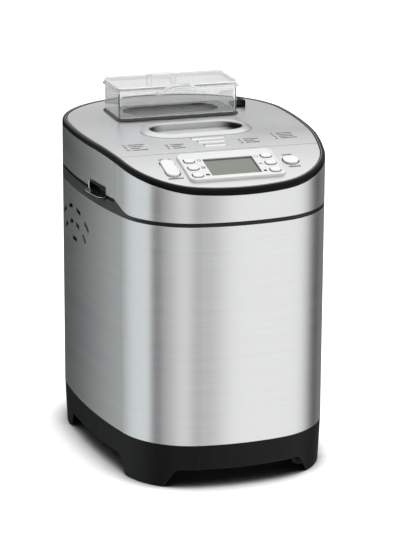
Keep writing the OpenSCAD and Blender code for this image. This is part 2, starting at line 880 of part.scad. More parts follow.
// Rod of the heating element round the pan, with both ends turned out through the back wall
module heating_element() {
    bx = element_hx - element_r;
    by = element_hy - element_r;
    out_y = oven_d / 2 + 18;
    color([0.35, 0.33, 0.32]) at_oven() translate([0, 0, element_z]) {
        for (x = [-1, 1]) {
            translate([x * element_hx, -by, 0]) rod_y(rod_r, 0, 2 * by);
            translate([0, element_hy, 0]) rod_x(rod_r, x > 0 ? element_lead_x + elbow_r : -bx,
                x > 0 ? bx : -element_lead_x - elbow_r);
            translate([x * element_lead_x, 0, 0]) {
                rod_y(rod_r, element_hy + elbow_r, out_y);
                rod_y(1.6, out_y - eps, out_y + 8);
            }
            translate([x * (element_lead_x + elbow_r), element_hy + elbow_r, 0])
                rotate([0, 0, x > 0 ? 180 : 270]) rotate_extrude(angle = 90)
                    translate([elbow_r, 0]) circle(rod_r);
        }
        translate([-bx, -element_hy, 0]) rod_x(rod_r, 0, 2 * bx);
        for (x = [0, 1], y = [0, 1]) mirror([x, 0, 0]) mirror([0, y, 0])
            translate([bx, by, 0]) rotate_extrude(angle = 90) translate([element_r, 0]) circle(rod_r);
    }
    color([0.9, 0.88, 0.82]) at_oven() for (x = [-1, 1]) translate([x * element_lead_x, 0, element_z])
        difference() {
            union() {
                rod_y(rod_r + 2.4, oven_d / 2 + 0.1, oven_d / 2 + steel_t + 6);
                rod_y(rod_r + 4.5, oven_d / 2 + steel_t, oven_d / 2 + steel_t + 2);
            }
            rod_y(rod_r + fix, 0, far / 2);
        }
}

module temperature_probe() {
    wall = oven_d / 2 + steel_t;
    color([0.75, 0.72, 0.6]) at_oven() translate([probe_x, 0, probe_z]) {
        rod_y(probe_r, -wall - 4, -oven_d / 2 + 9);
        rod_y(probe_r + 2, -wall - 2, -wall);
    }
}

module pan_seat() {
    color([0.7, 0.71, 0.72]) at_oven() difference() {
        union() {
            rod(collar_r + 6, oven_floor, pan_seat_z);
            rod(collar_r + 6, pan_seat_z - eps, pan_seat_z + 6);
        }
        rod(bearing_r + 1, oven_floor - 1, pan_seat_z + 1);
        rod(collar_r + slip + 0.2, pan_seat_z, pan_seat_z + 7);
    }
}

module chassis_plate() {
    color([0.6, 0.61, 0.62]) difference() {
        translate([0, 0, chassis_z]) linear_extrude(chassis_t) intersection() {
            outline_2d(9);
            translate([-chassis_hx, -far / 2]) square([2 * chassis_hx, far / 2 + chassis_rear]);
        }
        at_oven() rod(bearing_r - 4, chassis_z - 1, chassis_top + 1);
        at_motor() rod(motor_shaft_r + 8, chassis_z - 1, chassis_top + 1);
        for (p = chassis_places) translate(p) rod(screw_r + fix, chassis_z - 1, chassis_top + 1);
    }
}

module shaft_bearing() {
    color([0.72, 0.73, 0.74]) at_oven() difference() {
        union() {
            rod(bearing_r, chassis_top, bearing_top);
            rod(bearing_r + 9, chassis_top, chassis_top + 3);
        }
        rod(shaft_r + run, chassis_top - 1, bearing_top + 1);
    }
}

// ---------------------------------------------------------------- motor and electrics

module motor_housing() {
    cap_t = 3;
    color([0.55, 0.56, 0.58]) at_motor() difference() {
        rod(motor_r, chassis_top, chassis_top + motor_h);
        rod(motor_shaft_r + run, chassis_top - 1, chassis_top + motor_h + 1);
        rod(motor_r * 0.55, chassis_top + cap_t, chassis_top + motor_h - cap_t);
        rod(motor_r - 2, chassis_top + cap_t, chassis_top + cap_t + 6);
        rod(motor_r - 2, chassis_top + motor_h - cap_t - 6, chassis_top + motor_h - cap_t);
    }
}

module motor_rotor() {
    color([0.5, 0.5, 0.52]) at_motor() {
        rod(motor_shaft_r, pulley_z - 1, chassis_top + motor_h + 4);
        rod(motor_r * 0.55 - 0.8, chassis_top + 10, chassis_top + motor_h - 10);
    }
}

module motor_pulley() {
    color([0.2, 0.2, 0.2]) at_motor() difference() {
        union() {
            rod(motor_pulley_r, pulley_z, pulley_z + pulley_h);
            rod(motor_pulley_r + 2.2, pulley_z, pulley_z + 1.2);
        }
        rod(motor_shaft_r + 0.02, pulley_z - 2, pulley_z + pulley_h + 1);
    }
}

module motor_capacitor() {
    color([0.85, 0.85, 0.86]) translate([motor_r + 18, motor_y - 9, 0]) {
        rod(15, chassis_top, chassis_top + 45);
        for (x = [-5, 5]) translate([x, 0, 0]) rod(1.2, chassis_top + 44, chassis_top + 52);
    }
}

module heat_shield() {
    color([0.7, 0.71, 0.72]) translate([0, shield_y, 0]) {
        translate([-shield_hx, -steel_t, chassis_top])
            cube([2 * shield_hx, steel_t, deck_bottom - 6 - chassis_top]);
        both_sides() translate([shield_hx - 24, -steel_t - 8, chassis_top]) cube([16, 8 + eps, steel_t]);
    }
}

// Power board on four posts in front of the heat shield, above the motor
module power_board() {
    board_z = chassis_top + motor_h + 14;
    front = shield_y - steel_t - 9;
    board_hx = shield_hx - 24;
    board_h = 75;
    post_inset = 6;
    color([0.13, 0.38, 0.22]) {
        translate([-board_hx, front, board_z]) cube([2 * board_hx, 1.6, board_h]);
        for (x = [-1, 1] * (board_hx - post_inset), z = [post_inset, board_h - post_inset])
            translate([x, 0, board_z + z]) rod_y(2.5, front + 1.6 - eps, shield_y - steel_t);
        translate([-48, front - 22, board_z + 20]) cube([30, 22 + eps, 34]);
        translate([2, front - 18, board_z + 12]) cube([22, 18 + eps, 17]);
        translate([34, front - 14, board_z + 40]) cube([18, 14 + eps, 24]);
    }
}

// Everything inside a flat belt's loop over both pulleys, d outside their rims, from z0 to z1
module belt_loop(d, z0, z1) {
    span = oven_y - motor_y;
    a = driven_r + d;
    b = motor_pulley_r + d;
    lean = asin((a - b) / span);
    p = [a * cos(lean), oven_y - a * sin(lean)];
    q = [b * cos(lean), motor_y - b * sin(lean)];
    translate([0, 0, z0]) linear_extrude(z1 - z0) polygon([p, q, flip(q), flip(p)]);
    at_oven() rod(a + arc_lap, z0, z1);
    at_motor() rod(b + arc_lap, z0, z1);
}

module drive_belt() {
    z = pulley_z + 1.5;
    color([0.1, 0.1, 0.1]) difference() {
        belt_loop(belt_gap + belt_t, z, z + belt_h);
        belt_loop(belt_gap, z - 1, z + belt_h + 1);
    }
}

module driven_pulley() {
    color([0.2, 0.2, 0.21]) at_oven() difference() {
        rod(driven_r, pulley_z, pulley_z + pulley_h);
        rod(shaft_r + 0.02, pulley_z - 1, pulley_z + pulley_h + 1);
        difference() {
            rod(driven_r - 6, pulley_z + 4, pulley_z + pulley_h + 1);
            rod(shaft_r + 8, pulley_z, pulley_z + pulley_h + 2);
        }
        for (a = [0:60:300]) rotate([0, 0, a])
            translate([driven_r * 0.56, 0, 0]) rod(8, pulley_z - 1, pulley_z + 5);
    }
}

module drive_shaft() {
    color([0.75, 0.76, 0.78]) at_oven() {
        rod(shaft_r, pulley_z - 1, dog_disc_z + eps);
        rod(dog_reach + dog_r + 2, dog_disc_z, dog_z);
        for (x = [-1, 1]) translate([x * dog_reach, 0, 0]) rod(dog_r, dog_z - eps, dog_z + dog_h);
    }
}

// ---------------------------------------------------------------- pan and paddle

module baking_pan() {
    hx = pan_w / 2;
    hy = pan_d / 2;
    color([0.3, 0.3, 0.31]) at_oven() difference() {
        union() {
            block(hx, hy, pan_r, pan_z, pan_top);
            block(hx + 2, hy + 2, pan_r + 2, pan_top - 3, pan_top);
            rod(collar_r, pan_seat_z + seat, pan_z + eps);
            for (x = [-1, 1]) translate([x * (hx - 1), 0, bail_z]) rod_x(6, x > 0 ? 0 : -2.2, x > 0 ? 2.2 : 0);
        }
        difference() {
            block(hx - pan_wall, hy - pan_wall, pan_r - pan_wall, pan_z + pan_wall, pan_top + 1);
            rod(pan_boss_r, pan_z, pan_z + 3.5);
        }
        difference() {
            rod(collar_r - collar_wall, pan_seat_z, pan_z);
            rod(pan_boss_r, pan_z - 0.5, pan_z + 1);
        }
        rod(pan_shaft_r + run, pan_z - 1, pan_z + 5);
        for (x = [-1, 1]) translate([0, 0, bail_z])
            rod_x(wire_r + run, x > 0 ? hx - 3 : -hx - 3, x > 0 ? hx + 3 : -hx + 3);
    }
}

// Wire handle, folded forward onto the pan's rim
module pan_handle() {
    x0 = pan_w / 2 + 5.5;
    w = wire_r;
    color([0.7, 0.71, 0.72]) at_oven() translate([0, 0, bail_z]) rotate([-bail_rest, 0, 0]) {
        both_sides() {
            rod_x(w, pan_w / 2 - pan_wall, x0);
            translate([x0, 0, 0]) sphere(w);
            translate([x0, 0, 0]) rod_y(w, -bail_reach + bail_corner, 0);
            translate([x0 - bail_corner, -bail_reach + bail_corner, 0])
                rotate([0, 0, -90]) rotate_extrude(angle = 90) translate([bail_corner, 0]) circle(w);
        }
        translate([0, -bail_reach, 0]) rod_x(w, -x0 + bail_corner, x0 - bail_corner);
    }
}

module pan_shaft() {
    color([0.78, 0.79, 0.8]) at_oven() {
        rod(pan_shaft_r, wing_z, hub_z + hub_h + 1.5);
        translate([-2, -dog_reach - dog_r, wing_z]) cube([4, 2 * (dog_reach + dog_r), 5.4]);
    }
}

module kneading_paddle() {
    color([0.25, 0.25, 0.26]) at_oven() difference() {
        union() {
            rod(hub_r, hub_z, hub_z + hub_h);
            intersection() {
                translate([0, -3, hub_z]) cube([blade_reach, 6, hub_h - 3]);
                translate([0, 4, hub_z - 12]) rotate([90, 0, 0]) cylinder(r = blade_reach, h = 8);
            }
        }
        rod(pan_shaft_r + fix, hub_z - 1, hub_z + hub_h + 2);
    }
}

// ---------------------------------------------------------------- lid

module lid_slots() {
    both_sides() translate([ear_x - 2 * slip, hinge_y - ear_r - 2, lid_z - 1])
        cube([ear_t + 4 * slip, far, hinge_z + slot_over + 1 - lid_z]);
}

module grip_cuts() {
    both_sides() on_side(grip_angle)
        translate([-grip_depth, -grip_half, lid_z - 1]) cube([grip_depth + 4, 2 * grip_half, grip_h + 1]);
}

module lid_top_plate() {
    color([0.76, 0.77, 0.78]) {
        difference() {
            behind(lid_start) intersection() {
                slab(rim_w + fix, top_z - 50, top_z);
                top_skin(plate_drop, plate_low);
            }
            at_window() pill(window_hx + 1.9, window_hy + 1.9, top_z - 20, top_z + 1);
            at_dispenser() block(chute_hx, chute_hy, 4, top_z - 20, top_z + 1);
            translate([latch_x + 3.5 + latch_travel / 2, latch_y, 0])
                block(latch_travel / 2 + 2, 2.3, 0.5, top_z - 20, top_z + 1);
            for (l = louvres) translate([0, l[0] + louvre_w / 2, 0]) pill(l[1], 0.7, top_z - 20, top_z + 1);
        }
        for (l = louvres) intersection() {
            translate([0, l[0] - 0.9, 0]) pill(l[1] + 0.6, louvre_w / 2, top_z - 20, top_z + 5);
            top_skin(plate_drop - 1, plate_drop + eps);
        }
    }
}

module lid_rim() {
    color([0.08, 0.08, 0.085]) behind(lid_start) rim();
}

module lid_band() {
    color([0.78, 0.79, 0.8]) difference() {
        behind(lid_start) intersection() {
            ring(0, steel_t, lip_top, top_z);
            under_top(rim_h, lip_top - 1);
        }
        lid_slots();
        grip_cuts();
    }
}

module lid_frame() {
    color([0.1, 0.1, 0.105]) difference() {
        union() {
            behind(lid_start) intersection() {
                union() {
                    ring(steel_t + fix, frame_wall, lid_z, top_z);
                    ring(0, steel_t + 2 * fix, lid_z, lip_top);
                }
                under_top(rim_h, lid_z - 1);
            }
            intersection() {
                slab(rim_w + ledge_w + 0.2, lid_z, top_z);
                under_top(plate_low, lid_z - 1);
                union() {
                    translate([-far / 2, inner_front - cross_t, 0]) cube([far, cross_t, far]);
                    translate([-far / 2, cross_y, 0]) cube([far, cross_t, far]);
                }
            }
            intersection() {
                slab(frame_wall - eps, lid_z, top_z - 25);
                union() {
                    translate([-far / 2, inner_front - cross_t, 0]) cube([far, cross_t, far]);
                    translate([-far / 2, cross_y, 0]) cube([far, cross_t, far]);
                }
            }
            intersection() {
                ring(frame_wall - eps, frame_wall + 5, lid_z + inner_t, lid_z + inner_t + 2);
                translate([-far / 2, inner_front - eps, 0]) cube([far, cross_y - inner_front + 2 * eps, far]);
            }
            both_sides() intersection() {
                slab(frame_wall - eps, lid_z, top_z);
                translate([web_x, cross_y, hinge_z - 8]) cube([web_t, far, 22]);
            }
        }
        lid_slots();
        grip_cuts();
        at_hinge() rod_x(hinge_pin_r + 0.02, -web_x - web_t - 1, web_x + web_t + 1);
    }
}

// Finger grip in the lower edge of the lid: a scoop with a lip that stands out of the side
module lid_grips() {
    g = grip_depth - 0.1;
    h = grip_h - 0.1;
    color([0.09, 0.09, 0.095]) both_sides() on_side(grip_angle)
        translate([0, grip_half - 0.1, lid_z]) rotate([90, 0, 0]) linear_extrude(2 * grip_half - 0.2)
            polygon([[-0.3, h], [-g, h], [-g, 0], [0.7, 0], [0.9, -4.4], [4.5, -3.4], [6.9, -1.4], [7.2, 0.3],
                [5.8, 0.5], [3.6, 0.4], [1.2, 1.2], [-1.6, 1.4], [-3.6, 2.6]]);
}

module lid_inner_plate() {
    color([0.7, 0.71, 0.72]) difference() {
        union() {
            intersection() {
                slab(frame_wall + 0.1, lid_z, lid_z + inner_t);
                translate([-far / 2, inner_front, 0]) cube([far, inner_rear - inner_front, far]);
            }
            translate([0, dome_y, 0]) block(dome_hx, dome_hy, dome_r, lid_z, dome_top + inner_t);
        }
        translate([0, dome_y, 0])
            block(dome_hx - inner_t, dome_hy - inner_t, dome_r - inner_t, lid_z - 1, dome_top);
        at_window() pill(inner_pane_hx - 3, inner_pane_hy - 3, dome_top - 1, dome_top + 2);
        at_dispenser() block(chute_hx, chute_hy, 4, lid_z - 1, lid_z + 2);
        for (x = [-2:2]) translate([x * 14, inner_front + 14, 0]) rod(3, lid_z - 1, lid_z + 2);
        grip_cuts();
    }
}

module lid_seal() {
    hx = oven_w / 2 + seal_in;
    hy = oven_d / 2 + seal_in;
    color([0.75, 0.3, 0.2]) at_oven() difference() {
        block(hx + seal_w, hy + seal_w, oven_r + seal_in + seal_w, deck_top + seat, lid_z);
        block(hx, hy, oven_r + seal_in, deck_top, lid_z + 1);
    }
}

// A profile carried round a stadium: x of the profile is measured out from the middle line
module round_stadium(hx, hy) {
    for (x = [-1, 1]) translate([x * (hx - hy), 0, 0]) rotate([0, 0, x > 0 ? -90 : 90])
        rotate_extrude(angle = 180) children();
    for (y = [0, 1]) mirror([0, y, 0]) rotate([90, 0, 90])
        translate([0, 0, -hx + hy]) linear_extrude(2 * (hx - hy)) children();
}

module window_frame() {
    r = window_hy;
    l = window_land;
    low = -pane_drop - pane_t;
    color([0.84, 0.85, 0.86]) at_window() translate([0, 0, plate_z]) round_stadium(window_hx, window_hy)
        polygon([[r - 1.8, low - 2.4], [r + 1.7, low - 2.4], [r + 1.7, 0], [r + l, 0], [r + l - 0.6, 0.9],
            [r + l - 4.4, 3.2], [r + 2.6, window_rise], [r + 0.6, window_rise - 0.5], [r, window_rise - 1.6],
            [r, low], [r - 1.8, low]]);
}

module window_panes() {
    color([0.8, 0.84, 0.85, 0.5]) at_window() {
        pill(window_hx - 0.15, window_hy - 0.15, plate_z - pane_drop - pane_t, plate_z - pane_drop);
        pill(inner_pane_hx, inner_pane_hy, dome_top + inner_t, dome_top + inner_t + pane_t);
    }
}

module dispenser_chute() {
    color([0.7, 0.71, 0.72]) at_dispenser() difference() {
        block(chute_hx + chute_wall, chute_hy + chute_wall, 4 + chute_wall, lid_z + inner_t, plate_z - plate_t);
        block(chute_hx, chute_hy, 4, lid_z, top_z);
        translate([0, 0, solenoid_z]) rod_x(plunger_r + 0.5, 0, far / 2);
    }
}

module release_solenoid() {
    color([0.25, 0.3, 0.5]) at_dispenser() translate([0, 0, solenoid_z]) difference() {
        translate([solenoid_x, -solenoid_hy, -10]) cube([solenoid_l, 2 * solenoid_hy, 20]);
        rod_x(plunger_r + run, solenoid_x - 1, solenoid_x + solenoid_l - 2);
    }
}

module solenoid_plunger() {
    color([0.75, 0.75, 0.77]) at_dispenser() translate([0, 0, solenoid_z])
        rod_x(plunger_r, chute_hx - 4, solenoid_x + solenoid_l - 9);
}

module hinge_pins() {
    color([0.75, 0.75, 0.77]) at_hinge() both_sides() {
        rod_x(hinge_pin_r, ear_x - 1, web_x + web_t + eps);
        rod_x(hinge_pin_r + 1.5, web_x + web_t, web_x + web_t + 1.5);
    }
}

module hinge_bracket() {
    color([0.6, 0.61, 0.62]) difference() {
        union() {
            intersection() {
                slab(frame_wall + 0.3, deck_bottom - 3, deck_bottom);
                translate([-bracket_hx, oven_y + oven_d / 2 + steel_t + oven_flange + 0.5, 0])
                    cube([2 * bracket_hx, far, far]);
            }
            both_sides() {
                translate([ear_x, hinge_y - ear_r, deck_bottom - 3])
                    cube([ear_t, 2 * ear_r, hinge_z - deck_bottom + 3]);
                at_hinge() rod_x(ear_r, ear_x, ear_x + ear_t);
            }
        }
        at_hinge() rod_x(hinge_pin_r + run, -far / 2, far / 2);
    }
}

// ---------------------------------------------------------------- dispenser

// A slab whose upper edge is chamfered by c
module chamfered(hx, hy, r, z0, z1, c) {
    hull() {
        block(hx, hy, r, z0, z0 + 0.6, $fn = 48);
        block(hx - c, hy - c, r - c, z1 - 0.2, z1, $fn = 48);
    }
}

module dispenser_base() {
    ear_in = 36.4;
    color([0.22, 0.22, 0.23]) {
        difference() {
            at_dispenser() union() {
                chamfered(box_hx + 2, box_hy + 3.2, 9, base_low, base_top, 1.8);
            }
            at_dispenser() pill(drop_hx, drop_hy, base_low - 1, base_top + 1);
        }
        both_sides() difference() {
            union() {
                translate([ear_in, flap_pin_y - flap_ear_r, flap_pin_z])
                    cube([3, 2 * flap_ear_r, base_low - flap_pin_z + eps]);
                translate([0, flap_pin_y, flap_pin_z]) rod_x(flap_ear_r, ear_in, ear_in + 3);
            }
            translate([0, flap_pin_y, flap_pin_z]) rod_x(flap_pin_r + run, ear_in - 1, ear_in + 4);
        }
    }
}

module dispenser_flap() {
    color([0.3, 0.3, 0.31]) {
        at_dispenser() difference() {
            block(flap_hx, flap_hy, 3, flap_z, flap_z + flap_t);
            pill(drop_hx - 3, drop_hy - 3, flap_z + flap_t - 0.7, flap_z + flap_t + 1);
        }
        both_sides() {
            translate([0, flap_pin_y, flap_pin_z]) {
                rod_x(flap_knuckle_r, 30, 36);
                rod_x(flap_pin_r, 30, 39);
            }
            translate([30, flap_pin_y - 6, flap_z - 1]) cube([6, 5, 1 + eps]);
        }
    }
}

module dispenser_box() {
    knuckle = 10.6;
    color([0.85, 0.88, 0.9, 0.4]) {
        at_dispenser() difference() {
            block(box_hx, box_hy, 5, base_top, box_top);
            block(box_hx - box_wall, box_hy - box_wall, 5 - box_wall, base_top - 1, box_top + 1);
        }
        both_sides() difference() {
            union() {
                translate([knuckle, disp_y + box_hy - 1, cover_pin_z - 9])
                    cube([4, cover_pin_y - disp_y - box_hy + 1, 8]);
                translate([0, cover_pin_y, cover_pin_z]) rod_x(3, knuckle, knuckle + 4);
                translate([knuckle, cover_pin_y - 3, cover_pin_z - 9]) cube([4, 6, 9]);
            }
            translate([0, cover_pin_y, cover_pin_z]) rod_x(cover_pin_r + run, knuckle - 1, knuckle + 5);
        }
    }
}

module dispenser_cover() {
    skirt_z = box_top - cover_skirt;
    top = box_top + 0.4 + cover_t;
    grip_hx = 25;
    grip_rise = 9;
    grip_r = (grip_hx * grip_hx + grip_rise * grip_rise) / (2 * grip_rise);
    color([0.88, 0.9, 0.92, 0.5]) {
        difference() {
            at_dispenser() difference() {
                chamfered(box_hx + cover_over, box_hy + cover_over, 7, skirt_z, top, 2.6);
                block(box_hx + slip, box_hy + slip, 5 + slip, skirt_z - 1, box_top + 0.4);
            }
            translate([-15, cover_pin_y - 6, skirt_z - 1]) cube([30, 6, cover_skirt + 1.4]);
        }
        translate([0, cover_pin_y, cover_pin_z]) {
            rod_x(cover_knuckle_r, -10, 10);
            rod_x(cover_pin_r, -14, 14);
        }
        translate([-10, cover_pin_y - 6.5, box_top + 0.4]) cube([20, 7, cover_t]);
        intersection() {
            translate([0, disp_y - box_hy - 6, skirt_z - 2 + grip_rise - grip_r]) rod_y(grip_r, 0, 4.5);
            translate([-grip_hx, 0, skirt_z - 2]) cube([2 * grip_hx, far, grip_rise + 1]);
            difference() {
                translate([-far / 2, 0, 0]) cube(far);
                translate([0, disp_y - box_hy - 7, skirt_z - 2 + grip_rise - grip_r]) rod_y(grip_r - 2.4, 0, 3);
            }
        }
    }
}

module dispenser_latch() {
    color([0.08, 0.08, 0.08]) translate([latch_x, latch_y, 0]) {
        block_low = plate_z + 0.1;
        translate([0, -9, block_low]) cube([10, 18, 2.8]);
        translate([7, -9, block_low]) cube([3, 18, 6.5]);
        translate([2, -2, plate_z - plate_t - 0.3]) cube([3, 4, plate_t + 0.5]);
        translate([0.5, -4, plate_z - plate_t - 2]) cube([6, 8, 1.8]);
    }
}

base_tray();
rubber_feet();
bottom_plate();
case_screws();
outer_wrap();
top_frame();
front_band();
console_rim();
console_panel();
console_housing();
display_bezel();
lcd_glass();
control_board();
oven_chamber();
heating_element();
temperature_probe();
pan_seat();
chassis_plate();
shaft_bearing();
motor_housing();
motor_capacitor();
heat_shield();
power_board();
cord_gland();
hinge_bracket();
drive_belt();
driven_pulley();
drive_shaft();
motor_rotor();
motor_pulley();
baking_pan();
pan_handle();
kneading_paddle();
pan_shaft();
lid_top_plate();
lid_rim();
lid_band();
lid_frame();
lid_inner_plate();
lid_seal();
lid_grips();
window_frame();
window_panes();
dispenser_chute();
release_solenoid();
hinge_pins();
solenoid_plunger();
dispenser_box();
dispenser_base();
dispenser_flap();
dispenser_cover();
dispenser_latch();
menu_key();
crust_key();
size_key();
timer_up_key();
timer_down_key();
light_key();
start_button();
program_rocker();
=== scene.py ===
import math

import bpy
import numpy as np
from bpy.props import FloatProperty, FloatVectorProperty, PointerProperty
from mathutils import Matrix, Vector


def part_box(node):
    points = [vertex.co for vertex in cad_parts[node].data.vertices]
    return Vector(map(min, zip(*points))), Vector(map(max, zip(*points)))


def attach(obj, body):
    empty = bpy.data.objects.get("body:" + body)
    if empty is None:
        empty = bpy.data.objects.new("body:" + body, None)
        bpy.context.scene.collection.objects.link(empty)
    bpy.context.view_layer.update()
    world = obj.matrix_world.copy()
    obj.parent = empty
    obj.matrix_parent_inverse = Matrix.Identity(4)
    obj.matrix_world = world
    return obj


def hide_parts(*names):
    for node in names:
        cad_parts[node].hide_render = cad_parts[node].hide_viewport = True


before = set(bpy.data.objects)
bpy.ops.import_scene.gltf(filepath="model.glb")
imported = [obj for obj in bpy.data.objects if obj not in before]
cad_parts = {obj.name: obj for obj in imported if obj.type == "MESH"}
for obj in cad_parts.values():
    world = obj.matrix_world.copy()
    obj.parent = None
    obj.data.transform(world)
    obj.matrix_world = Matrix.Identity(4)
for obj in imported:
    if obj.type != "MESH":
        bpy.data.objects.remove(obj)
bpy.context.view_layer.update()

bl_info = {
    "name": "Bread Machine Finish",
    "version": (1, 0, 0),
    "blender": (4, 5, 0),
    "location": "View3D > Sidebar > Bread Machine",
    "description": "Finishes, trim, print and studio for an upright bread machine",
    "category": "Object",
}

MM = 0.001

# Lengths are in millimetres unless a comment says otherwise, and places are in the frame's own axes.

# Shape of the top: flat to the rear of CURVE_Y, then an arc down to the front. PLATE_DROP is how far the
# plates lie under the rims. The rims of console and lid end at either side of the seam.
CURVE_Y, CURVE_R, TOP_Z = -34.0, 325.0, 309.3
PLATE_DROP = 0.4
CONSOLE_END, LID_START, SEAM_Y = -79.45, -78.55, -79.0

# Arcs of the right half of the body's outline, front to rear: centre, radius, first and last angle in
# degrees
OUTLINE_ARCS = (
    ((0.0, 73.75), 227.0, -90.0, -79.60),
    ((27.90, -78.21), 72.5, -79.60, -13.40),
    ((-422.0, 29.0), 535.0, -13.40, 2.917),
    ((14.43, 51.24), 98.0, 2.917, 58.97),
    ((0.0, 27.25), 126.0, 58.97, 90.0),
)
SIDE_ARC, REAR_CORNER_ARC = OUTLINE_ARCS[2:4]
OUTLINE_REAR = (0.0, 153.25)

# Console plane: origin, and the directions that run up the slope and out of it
CONSOLE_ORIGIN = np.array([0.0, -112.5, 299.265])
CONSOLE_UP = np.array([0.0, 0.970391, 0.241538])
CONSOLE_OUT = np.array([0.0, -0.241538, 0.970391])

# On the console: the display plate, its keys round the display, the start button and the rocker
BEZEL_RISE, BEZEL_HALF = 1.5, (46.0, 25.2)
DISPLAY_V = -3.2
KEY_U, KEY_PITCH, KEY_HALF = 37.2, 13.9, (4.75, 3.8)
KEY_ROWS = [DISPLAY_V + KEY_PITCH, DISPLAY_V, DISPLAY_V - KEY_PITCH]
SIGN_U = 27.6
START_AT, START_R = (58.5, 1.0), 7.25
ROCKER_AT, ROCKER_HALF = (-57.7, 2.6), (6.2, 15.5)

# Beads on the console: the display plate's border, a painted highlight, which is inset, and the dark
# outlines, painted shade, which stand a gap off their keys. Each is that distance, a corner radius, a width
# and a height. The start button is round and has no corner radius.
BEZEL_BORDER = (1.3, 4.8, 1.7, 0.55)
KEY_OUTLINE, ROCKER_OUTLINE, START_OUTLINE = (0.5, 3.5, 0.75, 0.07), (1.0, 7.2, 0.55, 0.08), (0.6, 0.8, 0.08)

# Louvres: depth and half length of each. A bar, in a lighter metal as a painted highlight, has a half width
# and a height, and lies forward of that depth and past that half length. A slot, a flat dark patch of painted
# shade, has a half width and a corner radius, and lies past and behind them.
LOUVRES = ((-44.0, 15.3), (-55.0, 12.6), (-66.0, 9.6))
BAR_HALF_WIDTH, BAR_HEIGHT, BAR_FORWARD, BAR_PAST = 2.1, 1.15, 1.3, 1.3
SLOT_HALF_WIDTH, SLOT_CORNER, SLOT_PAST, SLOT_BEHIND = 1.2, 1.0, 0.8, 2.8

# Side vents: middle, width of a slot, width and height of its dark edge of painted shade, and rows of radius,
# turns of the slots in degrees, and length
VENT_Y, VENT_Z, VENT_W, VENT_EDGE = 20.0, 167.0, 3.2, (0.9, 0.06)
VENT_ROWS = (
    (67.0, (-32.5, -11.0, 11.0, 32.5), 12.5),
    (52.0, (-34.0, -11.0, 11.0, 34.0), 10.0),
    (36.0, (0.0,), 14.0),
)

# Dark sheet of painted shade behind the vents: its ends in depth and height, and how far in its two faces lie
VENT_SHADE_Y, VENT_SHADE_Z, VENT_SHADE_INSETS = (-62.0, 97.0), (94.0, 240.0), (2.4, 3.0)

# Finger grips in the lid: turn about the side's arc in degrees, half length, height of the lid's edge, and
# the section as pairs of how far out and how far up a point lies. LIP_POINT is the section's point that the
# lip's pale edge, a painted highlight, runs along, and LIP_R is that edge's radius.
GRIP_TURN, GRIP_HALF, GRIP_Z = -7.85, 18.9, 263.7
GRIP_SECTION = (
    (-0.3, 10.4), (-0.9, 6.6), (-5.6, 5.2), (-6.2, 3.4), (-5.6, 1.7), (-1.6, 1.3), (1.2, 1.2), (3.6, 0.4),
    (5.8, 0.45), (7.0, 0.45), (7.2, 0.1), (6.9, -1.4), (4.5, -3.4), (0.9, -4.4), (0.7, 0.02), (-6.9, 0.02),
    (-6.9, 10.4),
)
LIP_POINT, LIP_R = 9, 0.28

# The bright cut edge at a grip, a painted highlight in near-white metal: its depth, how far it bends
# forward, its foot over the lid's edge, its height, how far out of the wall it lies and its radius
CUT_Y, CUT_BEND, CUT_FOOT, CUT_RISE, CUT_OUT, CUT_R = -24.9, 1.9, 0.6, 8.6, 0.15, 0.7

# Shadow of the seam in the wall: how far over the lid's edge and under the top it ends, how deep it lies
# and its radius
SEAM_FOOT, SEAM_HEAD, SEAM_SINK, SEAM_R = 3.4, 5.2, 0.3, 0.42

# Dispenser: its middle's depth and the cover's half sizes. Each edge of the cover, a bead of painted
# highlight, is a height, an inset, a corner radius, a width and a rise.
DISPENSER_Y, COVER_HALF = 73.0, (62.4, 30.4)
COVER_EDGES = ((341.3, 1.3, 5.8, 0.9, 0.35), (336.45, 0.4, 6.6, 0.7, 0.3))

# Thumb lip of the cover, an arc: height of its centre, radius, half length, and how far forward of the
# cover it lies. Its two bright edges, beads of painted highlight, are insets from the radius and from the
# ends, with a radius of their own and a depth that they lie under the lip's face.
THUMB_Z, THUMB_R, THUMB_HALF, THUMB_LEAD = 303.88, 39.22, 25.0, 3.2
THUMB_EDGES, EDGE_R, EDGE_SINK = ((0.0, 2.0), (2.4, 6.0)), 0.4, 0.05

# Oval window in the lid, and the shares of its half sizes between which painted shade darkens its ring's
# ends, its glass's ends and its glass's border
WINDOW_Y, WINDOW_HALF = -8.0, (45.7, 20.0)
RING_END_SHARES, GLASS_END_SHARES, GLASS_BORDER_SHARES = (0.55, 0.9), (0.62, 0.96), (0.6, 0.95)

# Profiles of inset and drop carried along the outline: the rim, and the fine line on it, a painted highlight.
# Then the spacing of their points along it, and the angle in degrees below which their faces shade as one.
RIM_PROFILE = (
    (0.0, 4.8), (0.0, 2.6), (0.05, 2.0), (0.22, 1.35), (0.5, 0.8), (0.9, 0.38), (1.4, 0.12), (2.0, 0.0),
    (3.0, 0.0), (3.9, 0.0), (4.4, 0.05), (4.75, 0.18), (4.95, 0.4), (5.0, 0.7), (5.0, 4.8),
)
LINE_PROFILE = ((3.3, 0.3), (3.3, 0.0), (3.42, -0.06), (3.78, -0.06), (3.9, 0.0), (3.9, 0.3))
RIM_SPACING, RIM_SMOOTH_BELOW = 2.0, 40.0

# Printed rows on the lid: left end, first row's depth, pitch, and the length of each row. A number stands
# before it.
PRINT_BLOCKS = (
    (-79.5, -48.5, 5.2, (15.5, 12.5, 8.5, 14.0)),
    (-40.5, -56.5, 5.0, (12.0, 9.5, 11.5)),
    (31.5, -54.5, 5.0, (15.0, 9.5, 12.5)),
    (68.0, -43.5, 5.2, (14.5, 15.0, 13.0, 14.5)),
)
NUMBER_LEAD, NUMBER_LENGTH = 5.4, 2.2

# Strokes of the print, least and greatest: width, gap, and height as a share of the row's. The seed starts
# their random sizes.
STROKE_WIDTH, STROKE_GAP, STROKE_SHARE, PRINT_SEED = (0.6, 1.15), (0.25, 0.45), (0.7, 1.0), 7

